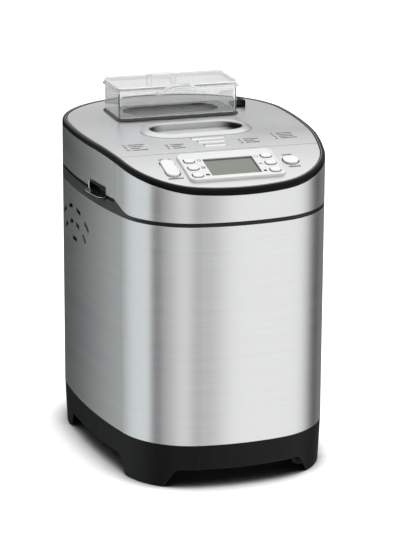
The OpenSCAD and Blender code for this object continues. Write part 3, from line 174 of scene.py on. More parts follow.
# Printed words on the console: left end, place up the slope, and length
CONSOLE_WORDS = (
    (ROCKER_AT[0] - 5.5, 21.2, 11.0),
    (ROCKER_AT[0] - 7.0, -16.4, 14.0),
    (START_AT[0] - 4.5, 12.6, 9.0),
    (START_AT[0] - 5.5, -10.6, 10.5),
)

# Light tent: bearings in degrees from the rear by the left where each upright panel rises and falls, how
# soft each of these is, and the brightness
TENT_PANELS = (
    (43.0, 32.0, 102.0, 2.0, 0.81),
    (119.0, 6.5, 275.0, 13.0, 0.42),
    (138.0, 14.0, 166.0, 10.0, 0.36),
    (188.0, 7.0, 262.0, 16.0, 0.62),
    (296.0, 8.0, 330.0, 10.0, 0.14),
)

# Rest of the tent. A ray's height runs from 0, level, to 1, straight up. The panels give way to the rear
# wall's level between two heights, and that to the ceiling between two others. The level itself goes from
# one brightness to another between two bearings.
PANELS_END, CEILING_START = (0.08, 0.27), (0.38, 0.74)
REAR_WALL_BEARINGS, REAR_WALL_LEVELS = (338.5, 345.0), (0.64, 0.72)

# The cool tint of the tent ends between these bearings and between these heights
COOL_BEARINGS, COOL_HEIGHTS = (112.0, 96.0), (0.3, 0.1)

# Lamp and camera, in metres and degrees: the camera turns to the right, tips down and rolls
LAMP_PLACE, LAMP_TARGET, LAMP_SIZE = (1.7, -1.5, 2.3), (0.0, 0.0, 0.15), 1.6
CAMERA_PLACE = (-0.706758, -2.186838, 0.851581)
CAMERA_TURN, CAMERA_TIP, CAMERA_ROLL = 18.14798, 16.58444, 0.30701

# Painted shade that changes over a surface, each as the two places it changes between, in metres: height and
# reach from the middle line at the wall inside the window's ring, depth of the frame, inset from the
# display's right and rear edges, and how far right the floor's painted contact shadow ends
RING_SHADE_Z, RING_SHADE_REACH = (0.3115, 0.3095), (0.0248, 0.0225)
FRAME_SHADE_Y = (-0.102, -0.122)
DISPLAY_SHADE_RIGHT, DISPLAY_SHADE_REAR = (0.0016, 0.0034), (0.0022, 0.0044)
SHADOW_END_X = (0.09, 0.125)

# Share of the sky that a place on the floor sees: black under the first, and fully lit over the second
SHADOW_SKY = (0.34, 0.80)


# ---------------------------------------------------------------- shapes

def top_height(y, drop=0.0):
    """Height of the lid and console over the table at depth y, less drop: TOP_Z, or forward of CURVE_Y the
    height of the arc of radius CURVE_R, centre + (radius^2 - (y - CURVE_Y)^2)^(1/2)."""
    forward = np.minimum(y - CURVE_Y, 0.0)
    radius = CURVE_R - drop
    return TOP_Z - CURVE_R + np.sqrt(radius ** 2 - forward ** 2)


def on_console(u, v, w):
    """Points u across, v up the slope and w out of the console's plane."""
    u, v, w = np.broadcast_arrays(u, v, w)
    across = np.array([1.0, 0.0, 0.0])
    return CONSOLE_ORIGIN + u[..., None] * across + v[..., None] * CONSOLE_UP + w[..., None] * CONSOLE_OUT


def on_top(x, y, lift):
    """Points above plan position x, y, lift clear of the plate along the surface's normal."""
    x, y, lift = np.broadcast_arrays(x, y, lift)
    slope = np.arcsin(np.minimum(y - CURVE_Y, 0.0) / (CURVE_R - PLATE_DROP))
    height = top_height(y, PLATE_DROP) + lift * np.cos(slope)
    return np.stack([x, y + lift * np.sin(slope), height], axis=-1)


def on_console_skin(u, v, lift):
    """Points over the console's curved plate, u across and v up the slope from its middle."""
    return on_top(u, CONSOLE_ORIGIN[1] + v * CONSOLE_UP[1], lift)


def on_bezel(u, v, lift):
    """Points over the flat face of the display plate."""
    return on_console(u, v, BEZEL_RISE + lift)


def on_side(side):
    """A function that lays depth, height and lift on the wall, at side 1 or -1: on the side's arc, and
    behind it on the rear corner's. Each is centre + (radius + lift) (cos a, sin a), where sin a is (depth -
    centre) / radius."""
    def lay(y, z, lift):
        y, z, lift = np.broadcast_arrays(y, z, lift)
        places = []
        for (centre_x, centre_y), radius, _, _ in (SIDE_ARC, REAR_CORNER_ARC):
            turn = np.arcsin(np.clip((y - centre_y) / radius, -1.0, 1.0))
            x = side * (centre_x + (radius + lift) * np.cos(turn))
            places.append(np.stack([x, centre_y + (radius + lift) * np.sin(turn), z], axis=-1))
        (_, middle), radius, _, last = SIDE_ARC
        on_arc = y < middle + radius * math.sin(math.radians(last))
        return np.where(on_arc[..., None], *places)
    return lay


def body_outline(spacing=0.5):
    """Closed plan outline of the body from the front's middle round by the right: points, outward unit
    normals and length so far. Each arc is centre + radius (cos a, sin a), and the left half mirrors the
    right."""
    places, normals = [], []
    for centre, radius, first, last in OUTLINE_ARCS:
        steps = max(int(radius * math.radians(last - first) / spacing), 2)
        angles = np.radians(np.linspace(first, last, steps, endpoint=False))
        ray = np.stack([np.cos(angles), np.sin(angles)], axis=-1)
        places.append(np.array(centre) + radius * ray)
        normals.append(ray)
    right, right_n = np.concatenate(places), np.concatenate(normals)
    rear, rear_n = np.array([OUTLINE_REAR]), np.array([[0.0, 1.0]])
    left, left_n = right[::-1] * [-1, 1], right_n[::-1] * [-1, 1]
    loop = np.concatenate([right, rear, left])
    loop_n = np.concatenate([right_n, rear_n, left_n])
    length = np.concatenate([[0.0], np.cumsum(np.linalg.norm(np.diff(loop, axis=0), axis=1))])
    return loop, loop_n, length


def outline_part(first_y, rear, spacing):
    """The stretch of the outline behind first_y, or in front of it, as evenly spaced points and outward
    normals."""
    loop, loop_n, length = body_outline()
    crossings = np.flatnonzero(np.diff(np.sign(loop[:, 1] - first_y)))
    share = (first_y - loop[crossings, 1]) / (loop[crossings + 1, 1] - loop[crossings, 1])
    ends = length[crossings] + share * (length[crossings + 1] - length[crossings])
    start, stop = (ends[0], ends[1]) if rear else (ends[1], ends[0] + length[-1])
    walk = np.linspace(start, stop, int((stop - start) / spacing)) % length[-1]
    places = np.stack([np.interp(walk, length, loop[:, i]) for i in (0, 1)], axis=-1)
    normals = np.stack([np.interp(walk, length, loop_n[:, i]) for i in (0, 1)], axis=-1)
    return places, normals / np.linalg.norm(normals, axis=1, keepdims=True)


def grid_faces(rows, columns, close_rows=False, close_columns=False):
    """Quads between neighbouring points of a rows by columns grid."""
    r = np.arange(rows if close_rows else rows - 1)[:, None]
    c = np.arange(columns if close_columns else columns - 1)[None, :]
    row, next_row = r * columns, (r + 1) % rows * columns
    next_c = (c + 1) % columns
    quads = np.stack(np.broadcast_arrays(row + c, row + next_c, next_row + next_c, next_row + c), axis=-1)
    return quads.reshape(-1, 4).tolist()


def make_piece(name, shape, material, body, smooth_below=35.0):
    """A mesh object from a shape, which is points in millimetres and faces, turned outwards and riding on a
    body."""
    points, faces = shape
    vertices = np.asarray(points, dtype=float).reshape(-1, 3) * MM
    if not np.isfinite(vertices).all():
        raise ValueError(name + " has a point that is not a number")
    mesh = bpy.data.meshes.new(name)
    mesh.from_pydata(vertices.tolist(), [], faces)
    mesh.update()
    mesh.calc_loop_triangles()
    corners = np.empty(len(mesh.loop_triangles) * 3, dtype=np.int32)
    mesh.loop_triangles.foreach_get("vertices", corners)
    a, b, c = vertices[corners.reshape(-1, 3)].transpose(1, 0, 2)
    if np.einsum("ij,ij->i", a, np.cross(b, c)).sum() < 0:
        mesh.flip_normals()
    mesh.polygons.foreach_set("use_smooth", np.ones(len(mesh.polygons), dtype=bool))
    mesh.set_sharp_from_angle(angle=math.radians(smooth_below))
    mesh.materials.append(material)
    piece = bpy.data.objects.new(name, mesh)
    bpy.context.scene.collection.objects.link(piece)
    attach(piece, body)
    return piece


def swept(points):
    """A grid of rows, each a closed ring, with a face over both ends."""
    rows, columns = points.shape[:2]
    faces = grid_faces(rows, columns, close_columns=True)
    faces.append(list(range(columns))[::-1])
    faces.append([(rows - 1) * columns + i for i in range(columns)])
    return points.reshape(-1, 3), faces


def rim_shape(first_y, rear, profile):
    """A profile of inset t and drop carried along the outline: point (s, t) is outline(s) - inset(t)
    normal(s), at the top's height there less drop(t)."""
    profile = np.array(profile)
    places, normals = outline_part(first_y, rear, RIM_SPACING)
    plan = places[:, None, :] - normals[:, None, :] * profile[None, :, :1]
    height = top_height(plan[..., 1]) - profile[None, :, 1]
    return swept(np.concatenate([plan, height[..., None]], axis=-1))


def plates(centres, halves, lay, lift, sink=0.05):
    """Thin plates, one for each centre: corner (i, j) is centre + (i, j) half, laid on a surface and lifted
    clear."""
    corner = np.array([[-1, -1], [1, -1], [1, 1], [-1, 1]], dtype=float)
    centres, halves = np.asarray(centres, dtype=float), np.asarray(halves, dtype=float)
    flat = centres[:, None, :] + corner[None] * halves[:, None, :]
    top = lay(flat[..., 0], flat[..., 1], lift)
    low = lay(flat[..., 0], flat[..., 1], -sink)
    points = np.concatenate([low, top], axis=1)
    box = np.array([[0, 3, 2, 1], [4, 5, 6, 7], [0, 1, 5, 4], [1, 2, 6, 5], [2, 3, 7, 6], [3, 0, 4, 7]])
    faces = (np.arange(len(flat))[:, None, None] * 8 + box[None]).reshape(-1, 4)
    return points.reshape(-1, 3), faces.tolist()


def rounded_loop(half_u, half_v, radius, steps=8):
    """Corner arcs of a rounded rectangle about the origin: corner centre + radius (cos a, sin a), a from 0
    to 360."""
    radius = min(radius, half_u, half_v)
    quarter = np.linspace(0, 90, steps)
    turns = np.radians(np.concatenate([quarter, quarter + 90, quarter + 180, quarter + 270]))
    side_u = np.repeat([1, -1, -1, 1], steps) * (half_u - radius)
    side_v = np.repeat([1, 1, -1, -1], steps) * (half_v - radius)
    return np.stack([side_u + radius * np.cos(turns), side_v + radius * np.sin(turns)], axis=-1)


def circle(radius, steps):
    """radius (cos a, sin a), a from 0 to 360 degrees."""
    turn = np.linspace(0, 2 * math.pi, steps, endpoint=False)
    return radius * np.stack([np.cos(turn), np.sin(turn)], axis=-1)


def bead(loop, width, lay, profile_steps, height, sink=0.1):
    """A low rounded bead along a closed loop: at t from 0 to 180 degrees, -width / 2 cos t across and height
    sin t up."""
    ahead, behind = np.roll(loop, -1, axis=0), np.roll(loop, 1, axis=0)
    along = ahead - behind
    along /= np.maximum(np.linalg.norm(along, axis=1, keepdims=True), 1e-9)
    side = np.stack([along[:, 1], -along[:, 0]], axis=-1)
    turn = np.radians(np.linspace(0, 180, profile_steps))
    across = np.concatenate([-np.cos(turn) * width / 2, [width / 2, -width / 2]])
    lift = np.concatenate([np.sin(turn) * height, [-sink, -sink]])
    plan = loop[:, None, :] + side[:, None, :] * across[None, :, None]
    points = lay(plan[..., 0], plan[..., 1], np.broadcast_to(lift, plan.shape[:2]))
    return points.reshape(-1, 3), grid_faces(len(loop), len(across), close_rows=True, close_columns=True)


def patch(loop, lay, lift, sink=0.05):
    """A thin flat plate of any outline: the loop laid on a surface at its lift, and again just under the
    surface."""
    low, top = (lay(loop[:, 0], loop[:, 1], level) for level in (-sink, lift))
    return swept(np.stack([low, top]))


def louvre_bar(y, half_length, half_width, height, steps=8, sides=16):
    """A pressed louvre. Its ring at x is (half_width cos a, height sin a) times s(x), which is 1 along the
    middle and falls to nothing over the last half_width as a quarter circle does."""
    ends = np.linspace(0, math.pi / 2, steps)
    reach = half_length - half_width
    x = np.concatenate([-reach - half_width * np.sin(ends[::-1]), reach + half_width * np.sin(ends)])
    scale = np.maximum(np.concatenate([np.cos(ends[::-1]), np.cos(ends)]), 0.02)
    turn = np.linspace(0, 2 * math.pi, sides, endpoint=False)
    depth = y + half_width * np.cos(turn)[None, :] * scale[:, None]
    lift = np.maximum(height * np.sin(turn), -0.35)[None, :] * scale[:, None]
    return swept(on_top(np.broadcast_to(x[:, None], depth.shape), depth, lift))


def word(rng, u, v, length, height):
    """Centres and halves of a row of short upright strokes from u on. Their widths, heights and gaps vary a
    little."""
    centres, halves = [], []
    x = u
    while x < u + length:
        stroke = rng.uniform(*STROKE_WIDTH)
        centres.append((x + stroke / 2, v))
        halves.append((stroke / 2, height / 2 * rng.uniform(*STROKE_SHARE)))
        x += stroke + rng.uniform(*STROKE_GAP)
    return centres, halves


def tube(path, radius, sides):
    """A round bar along an open path: point (s, a) is path(s) + radius (cos a side(s) + sin a up(s)), ends
    closed."""
    path = np.asarray(path, dtype=float)
    along = np.gradient(path, axis=0)
    along /= np.linalg.norm(along, axis=1, keepdims=True)
    side = np.cross(along, [0.0, 0.0, 1.0])
    side /= np.maximum(np.linalg.norm(side, axis=1, keepdims=True), 1e-9)
    up = np.cross(side, along)
    turn = np.linspace(0, 2 * math.pi, sides, endpoint=False)[None, :, None]
    return swept(path[:, None] + radius * (np.cos(turn) * side[:, None] + np.sin(turn) * up[:, None]))


def grip_scoop(side, steps=25):
    """Rings of a finger grip: at t from -1 to 1 along it, its section is the pocket's, with all that stands
    out of the wall or hangs under the lid's edge times (1 - t^4)^(1/2), so that the lip is a spoon."""
    outward, height = np.array(GRIP_SECTION).T
    t = np.sin(np.linspace(-math.pi / 2, math.pi / 2, steps))
    spoon = np.sqrt(np.maximum(1 - t ** 4, 0.004))[:, None]
    out = np.where(outward > 0, outward * spoon, outward)
    rise = np.where(height < 0, height * spoon, height * np.ones_like(spoon))
    centre, radius = SIDE_ARC[:2]
    turn = math.radians(GRIP_TURN)
    ray, along = np.array([math.cos(turn), math.sin(turn)]), np.array([-math.sin(turn), math.cos(turn)])
    plan = np.array(centre) + (radius + out)[..., None] * ray + (t * GRIP_HALF)[:, None, None] * along
    return np.concatenate([plan * [side, 1], (rise + GRIP_Z)[..., None]], axis=-1)


def join(shapes):
    """Several shapes as one."""
    points, faces, count = [], [], 0
    for part_points, part_faces in shapes:
        part_points = np.asarray(part_points).reshape(-1, 3)
        points.append(part_points)
        faces.extend([[i + count for i in face] for face in part_faces])
        count += len(part_points)
    return np.concatenate(points), faces


# ---------------------------------------------------------------- node trees

def place(tree, kind, inputs=None, **settings):
    """Adds one node. settings are its own options; inputs are numbers, colours or sockets of other nodes."""
    made = tree.nodes.new(kind)
    for option, value in settings.items():
        setattr(made, option, value)
    for socket, value in (inputs or {}).items():
        if isinstance(value, bpy.types.NodeSocket):
            tree.links.new(value, made.inputs[socket])
        else:
            made.inputs[socket].default_value = value
    return made


def reckon(tree, operation, first, second=0.0, third=0.0, clamp=False):
    """One Math node's result."""
    inputs = {0: first, 1: second, 2: third}
    return place(tree, "ShaderNodeMath", inputs, operation=operation, use_clamp=clamp).outputs[0]


def product(tree, first, *others):
    """Several values multiplied."""
    for other in others:
        first = reckon(tree, "MULTIPLY", first, other)
    return first


def rescale(tree, value, low, high, to_low=0.0, to_high=1.0, smooth=False):
    """One Map Range node's result, held between its ends."""
    inputs = {"Value": value, "From Min": low, "From Max": high, "To Min": to_low, "To Max": to_high}
    kind = "SMOOTHSTEP" if smooth else "LINEAR"
    return place(tree, "ShaderNodeMapRange", inputs, interpolation_type=kind).outputs["Result"]


def blend_values(tree, share, first, second):
    """Mix of two numbers."""
    return place(tree, "ShaderNodeMix", {0: share, 2: first, 3: second}, data_type="FLOAT").outputs[0]


def blend_normals(tree, share, first, second):
    """Mix of two directions."""
    return place(tree, "ShaderNodeMix", {0: share, 4: first, 5: second}, data_type="VECTOR").outputs[1]


def blend_colours(tree, share, first, second):
    """Mix of two colours, each a socket or three numbers."""
    first, second = (c if isinstance(c, bpy.types.NodeSocket) else (*c[:3], 1.0) for c in (first, second))
    return place(tree, "ShaderNodeMix", {0: share, 6: first, 7: second}, data_type="RGBA").outputs[2]


def combine(tree, operation, first, second=None, output=0):
    """One Vector Math node's result."""
    inputs = {0: first} if second is None else {0: first, 1: second}
    return place(tree, "ShaderNodeVectorMath", inputs, operation=operation).outputs[output]


def noise(tree, where, scale, detail, roughness=0.5):
    """One Noise Texture node's value."""
    inputs = {"Vector": where, "Scale": scale, "Detail": detail, "Roughness": roughness}
    return place(tree, "ShaderNodeTexNoise", inputs).outputs["Fac"]


def axes_of(tree, where=None):
    """X, Y and Z of a vector, or of the object coordinates."""
    where = place(tree, "ShaderNodeTexCoord").outputs["Object"] if where is None else where
    return place(tree, "ShaderNodeSeparateXYZ", {0: where}).outputs


def plain_normal(tree):
    """The normal of the face."""
    return place(tree, "ShaderNodeNewGeometry").outputs["Normal"]


# ---------------------------------------------------------------- effects

def effect(name, inputs, outputs):
    """Turns a function that fills a node group into one that gives the group, which is built the first time.
    All have a Place input; inputs are the others, and outputs the results, each as a name and a kind."""
    def take(fill):
        def find():
            if name in bpy.data.node_groups:
                return bpy.data.node_groups[name]
            group = bpy.data.node_groups.new(name, "ShaderNodeTree")
            group.interface.new_socket(name="Place", in_out="INPUT", socket_type="NodeSocketVector")
            for socket, kind, value in inputs:
                kind = "NodeSocket" + kind
                made = group.interface.new_socket(name=socket, in_out="INPUT", socket_type=kind)
                made.default_value = value
            for socket, kind in outputs:
                group.interface.new_socket(name=socket, in_out="OUTPUT", socket_type="NodeSocket" + kind)
            given = group.nodes.new("NodeGroupInput").outputs
            result = group.nodes.new("NodeGroupOutput").inputs
            for socket, value in fill(group, given).items():
                group.links.new(value, result[socket])
            return group
        find.__doc__ = fill.__doc__
        return find
    return take


@effect("Brushed grain", [("Fine", "Vector", (14, 14, 1500)), ("Broad", "Vector", (5, 5, 260))],
        [("Height", "Float"), ("Tone", "Float")])
def brushed_grain(group, given):
    """Fine lines drawn out along two axes and short along the third, with a height for bump and a tone for
    colour."""
    fine, broad = (noise(group, combine(group, "MULTIPLY", given["Place"], given[socket]), 1.0, detail, 0.65)
                   for socket, detail in (("Fine", 3.0), ("Broad", 2.0)))
    tone = reckon(group, "MULTIPLY_ADD", fine, 0.6, product(group, broad, 0.4))
    return {"Height": fine, "Tone": rescale(group, tone, 0.3, 0.7)}


@effect("Moulded speckle", [("Scale", "Float", 900.0)], [("Height", "Float"), ("Tone", "Float")])
def moulded_speckle(group, given):
    """The fine even grain of a moulded or blasted surface, as a height and a tone."""
    fine = noise(group, given["Place"], given["Scale"], 2.0, 0.6)
    cloud = noise(group, given["Place"], 14.0, 3.0, 0.55)
    tone = reckon(group, "MULTIPLY_ADD", fine, 0.45, product(group, cloud, 0.55))
    return {"Height": fine, "Tone": rescale(group, tone, 0.34, 0.66)}


@effect("Soft edge", [("Radius", "Float", 0.0006)],
        [("Normal", "Vector"), ("Wear and sheen", "Float"), ("Edge", "Float")])
def soft_edge(group, given):
    """Rounded edge normals of the given radius, a mask of those edges, and one broken up by noise, for
    wear."""
    rounded = place(group, "ShaderNodeBevel", {"Radius": given["Radius"]}, samples=6).outputs[0]
    facing = combine(group, "DOT_PRODUCT", rounded, plain_normal(group), output="Value")
    patches = rescale(group, noise(group, given["Place"], 160.0, 4.0), 0.35, 0.65)
    wear = product(group, rescale(group, facing, 0.995, 0.86), patches)
    return {"Normal": rounded, "Edge": rescale(group, facing, 0.9999, 0.997), "Wear and sheen": wear}


@effect("Curved top", [], [("Normal", "Vector")])
def curved_top(group, given):
    """The true normal of the lid's and console's arc, so that its flats shade as one curve. It is (0, y -
    CURVE_Y, z - centre) forward of CURVE_Y and straight up behind it, and the plain normal on faces that
    look away."""
    axes = axes_of(group, given["Place"])
    forward = reckon(group, "MINIMUM", reckon(group, "SUBTRACT", axes["Y"], CURVE_Y * MM), 0.0)
    rise = reckon(group, "SUBTRACT", axes["Z"], (TOP_Z - CURVE_R) * MM)
    arc = place(group, "ShaderNodeCombineXYZ", {"X": 0.0, "Y": forward, "Z": rise}).outputs[0]
    world = place(group, "ShaderNodeVectorTransform", {0: arc}, vector_type="NORMAL", convert_from="OBJECT",
                  convert_to="WORLD").outputs[0]
    arc_normal, plain = combine(group, "NORMALIZE", world), plain_normal(group)
    facing = combine(group, "DOT_PRODUCT", plain, arc_normal, output="Value")
    on_arc = reckon(group, "GREATER_THAN", facing, 0.998)
    return {"Normal": blend_normals(group, on_arc, plain, arc_normal)}


@effect("Settled dust", [], [("Mask", "Float")])
def settled_dust(group, given):
    """A thin uneven film on faces that look up, as a mask."""
    up = rescale(group, axes_of(group, plain_normal(group))["Z"], 0.4, 1.0)
    return {"Mask": product(group, up, rescale(group, noise(group, given["Place"], 55.0, 5.0), 0.42, 0.7))}


def use_effect(tree, group, **inputs):
    """The outputs of a node of that group, with its sockets set."""
    return place(tree, "ShaderNodeGroup", inputs, node_tree=group).outputs


# ---------------------------------------------------------------- finishes

def new_finish(name):
    """An empty material with its Principled shader: material, tree, shader, object coordinates."""
    material = bpy.data.materials.new(name)
    material.use_nodes = True
    tree = material.node_tree
    tree.nodes.clear()
    shader = tree.nodes.new("ShaderNodeBsdfPrincipled")
    place(tree, "ShaderNodeOutputMaterial", {"Surface": shader.outputs[0]})
    return material, tree, shader, place(tree, "ShaderNodeTexCoord").outputs["Object"]


def surface(name, colour, shade, roughness, grain=None, speckle=900.0, bump=0.1, bump_size=0.00004, edge=0.0,
            wear=None, dust=None, arc=False, **constants):
    """A metal, plastic or rubber finish. colour and shade are mixed by the grain's tone, roughness is its
    low and high value, edge and bump_size are in metres, wear and dust are a colour and its strength, and
    constants are plain sockets of the shader."""
    material, tree, shader, coordinates = new_finish(name)
    for socket, value in constants.items():
        shader.inputs[socket.replace("_", " ")].default_value = value
    if grain:
        texture = use_effect(tree, brushed_grain(), Place=coordinates, Fine=grain[0], Broad=grain[1])
    else:
        texture = use_effect(tree, moulded_speckle(), Place=coordinates, Scale=speckle)
    tone = blend_colours(tree, texture["Tone"], shade, colour)
    rough = rescale(tree, texture["Tone"], 0.0, 1.0, *roughness)
    normal = use_effect(tree, curved_top(), Place=coordinates)["Normal"] if arc else None
    if edge:
        rounding = use_effect(tree, soft_edge(), Place=coordinates, Radius=edge)
        # The edge tone is partly rubbing and partly a painted highlight along rounded edges.
        if wear:
            tone = blend_colours(tree, product(tree, rounding["Wear and sheen"], wear[1]), tone, wear[0])
        if normal is None:
            normal = rounding["Normal"]
        else:
            normal = blend_normals(tree, rounding["Edge"], normal, rounding["Normal"])
    if dust:
        mask = use_effect(tree, settled_dust(), Place=coordinates)["Mask"]
        tone = blend_colours(tree, product(tree, mask, dust[1]), tone, dust[0])
        rough = reckon(tree, "ADD", rough, product(tree, mask, 0.15), clamp=True)
    bumped = {"Strength": bump, "Distance": bump_size, "Height": texture["Height"]}
    if normal is not None:
        bumped["Normal"] = normal
    tree.links.new(place(tree, "ShaderNodeBump", bumped).outputs[0], shader.inputs["Normal"])
    tree.links.new(tone, shader.inputs["Base Color"])
    tree.links.new(rough, shader.inputs["Roughness"])
    return material


def shader_of(material):
    """The Principled shader of a finish."""
    return next(node for node in material.node_tree.nodes if node.type == "BSDF_PRINCIPLED")


def lay_colour(material, mask, colour):
    """Lays a colour over a finish where the mask is 1."""
    tree, socket = material.node_tree, shader_of(material).inputs["Base Color"]
    tree.links.new(blend_colours(tree, mask, socket.links[0].from_socket, colour), socket)


def window_reach(tree, axes):
    """How far a place lies from the middle line of the oval window: (b^2 + (y - WINDOW_Y)^2)^(1/2), where b
    is how far |x| is past the straight part."""
    half_x, half_y = WINDOW_HALF
    beyond = reckon(tree, "SUBTRACT", reckon(tree, "ABSOLUTE", axes["X"]), (half_x - half_y) * MM)
    beyond = reckon(tree, "MAXIMUM", beyond, 0.0)
    deep = reckon(tree, "SUBTRACT", axes["Y"], WINDOW_Y * MM)
    return reckon(tree, "SQRT", reckon(tree, "MULTIPLY_ADD", beyond, beyond, product(tree, deep, deep)))


def dress(material, *nodes):
    """Gives CAD nodes that material."""
    for name in nodes:
        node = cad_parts[name]
        if not node.material_slots:
            node.data.materials.append(material)
        for slot in node.material_slots:
            slot.material = material


def finish(rows):
    """Makes each finish of a table and dresses its nodes: name, colour, shade, roughness, options, nodes'
    names."""
    for name, colour, shade, roughness, options, nodes in rows:
        dress(surface(name, colour, shade, roughness, **options), *nodes.split())


def shade_of(colour, share):
    """A darker or lighter version of a colour."""
    return tuple(min(channel * share, 1.0) for channel in colour[:3])


# ---------------------------------------------------------------- settings

class SteelSettings(bpy.types.PropertyGroup):
    """Brushed steel and satin plates of the outside"""
    steel_colour: FloatVectorProperty(
        name="Steel", description="Colour of the brushed steel wall", subtype="COLOR", size=3,
        default=(0.84, 0.845, 0.85), min=0, max=1)
    steel_roughness: FloatProperty(
        name="Steel roughness", description="Roughness of the brushed steel", subtype="FACTOR",
        default=0.36, min=0.1, max=0.8)
    steel_stretch: FloatProperty(
        name="Brushing", description="How far brushing draws reflections out", subtype="FACTOR",
        default=0.92, min=0, max=1)
    plate_colour: FloatVectorProperty(
        name="Plate", description="Colour of the satin lid and console plates", subtype="COLOR", size=3,
        default=(0.74, 0.745, 0.75), min=0, max=1)
    ring_colour: FloatVectorProperty(
        name="Window ring", description="Colour of the polished ring round the window", subtype="COLOR",
        size=3, default=(0.70, 0.705, 0.71), min=0, max=1)


class PlasticSettings(bpy.types.PropertyGroup):
    """Mouldings of the outside"""
    rim_colour: FloatVectorProperty(
        name="Rim", description="Colour of the glossy black rims", subtype="COLOR", size=3,
        default=(0.003, 0.003, 0.0033), min=0, max=1)
    base_colour: FloatVectorProperty(
        name="Base", description="Colour of the moulded base", subtype="COLOR", size=3,
        default=(0.006, 0.0062, 0.0062), min=0, max=1)
    frame_colour: FloatVectorProperty(
        name="Frame", description="Colour of the dark frame under the lid", subtype="COLOR", size=3,
        default=(0.034, 0.036, 0.038), min=0, max=1)
    key_colour: FloatVectorProperty(
        name="Keys", description="Colour of the keys and buttons", subtype="COLOR", size=3,
        default=(0.70, 0.70, 0.695), min=0, max=1)
    bezel_colour: FloatVectorProperty(
        name="Bezel", description="Colour of the display plate", subtype="COLOR", size=3,
        default=(0.70, 0.705, 0.71), min=0, max=1)


class PrintSettings(bpy.types.PropertyGroup):
    """Marks on the top"""
    mark_colour: FloatVectorProperty(
        name="Print", description="Colour of the printed marks", subtype="COLOR", size=3,
        default=(0.02, 0.02, 0.021), min=0, max=1)
    mark_lift: FloatProperty(
        name="Print height", description="How far print stands off the plate, in millimetres",
        default=0.06, min=0.02, max=0.2)
    row_height: FloatProperty(
        name="Row height", description="Height of one row of print, in millimetres",
        default=2.4, min=0.8, max=3)


class DisplaySettings(bpy.types.PropertyGroup):
    """Display window"""
    glass_colour: FloatVectorProperty(
        name="Display", description="Colour of the display", subtype="COLOR", size=3,
        default=(0.128, 0.142, 0.110), min=0, max=1)


class StudioSettings(bpy.types.PropertyGroup):
    """Floor, light and camera"""
    tent_base: FloatProperty(
        name="Tent", description="Brightness of the tent between its panels", default=0.046, min=0, max=2)
    cool_tint: FloatVectorProperty(
        name="Cool side", description="Colour of the tent at the left", subtype="COLOR", size=3,
        default=(0.93, 1.0, 0.985), min=0, max=1)
    ceiling: FloatProperty(
        name="Ceiling", description="Brightness of the tent overhead", default=1.21, min=0, max=2)
    key_power: FloatProperty(
        name="Key light", description="Power of the large lamp, in watts", default=46.0, min=0, max=400)
    floor_glow: FloatProperty(
        name="Floor white", description="How much white the floor shows to the camera over its shade",
        default=0.42, min=0, max=1)
    shadow_reach: FloatProperty(
        name="Contact shadow", description="How far the dark contact shadow reaches", unit="LENGTH",
        subtype="DISTANCE", default=0.05, min=0.01, max=1)
    floor_half: FloatProperty(
        name="Floor", description="Half width of the floor", unit="LENGTH", subtype="DISTANCE",
        default=6.0, min=1, max=50)
    lens: FloatProperty(
        name="Lens", description="Focal length on a 36 mm sensor, in millimetres",
        default=164.324, min=20, max=400)


SETTINGS = {
    "bread_steel": SteelSettings,
    "bread_plastic": PlasticSettings,
    "bread_print": PrintSettings,
    "bread_display": DisplaySettings,
    "bread_studio": StudioSettings,
}


# ---------------------------------------------------------------- pieces

class BREAD_OT_steel(bpy.types.Operator):
    """Brushed steel for the wall and bands, satin metal for the lid and console plates and the window ring"""
    bl_idname = "bread.steel"
    bl_label = "Steel and Plates"

    def execute(self, context):
        s = context.scene.bread_steel
        finish((
            ("wall_steel", s.steel_colour, shade_of(s.steel_colour, 0.9),
             (s.steel_roughness - 0.03, s.steel_roughness + 0.04),
             dict(Metallic=1.0, grain=((14, 14, 1500), (5, 5, 240)), edge=0.0006,
                  Anisotropic=s.steel_stretch, Anisotropic_Rotation=0.25),
             "outer_wrap front_band lid_band"),
            ("satin_plate", s.plate_colour, shade_of(s.plate_colour, 0.93), (0.34, 0.42),
             dict(Metallic=1.0, speckle=1500.0, bump=0.06, bump_size=0.00003, arc=True, edge=0.0005),
             "lid_top_plate console_panel"),
            ("window_ring", s.ring_colour, shade_of(s.ring_colour, 0.94), (0.30, 0.36),
             dict(Metallic=1.0, speckle=1500.0, bump=0.04, edge=0.0015),
             "window_frame"),
        ))
        self.paint_ring_end_shade(bpy.data.materials["window_ring"])
        return {"FINISHED"}

    def paint_ring_end_shade(self, ring):
        """The wall inside the ring goes dark down from its top and towards its two ends."""
        tree = ring.node_tree
        axes = axes_of(tree)
        half_x = WINDOW_HALF[0] * MM
        deep = rescale(tree, axes["Z"], *RING_SHADE_Z, smooth=True)
        across = reckon(tree, "ABSOLUTE", axes["X"])
        ends = rescale(tree, across, *(share * half_x for share in RING_END_SHARES), smooth=True)
        inner = rescale(tree, window_reach(tree, axes), *RING_SHADE_REACH, smooth=True)
        lay_colour(ring, product(tree, deep, ends, inner), (0.02, 0.02, 0.021))


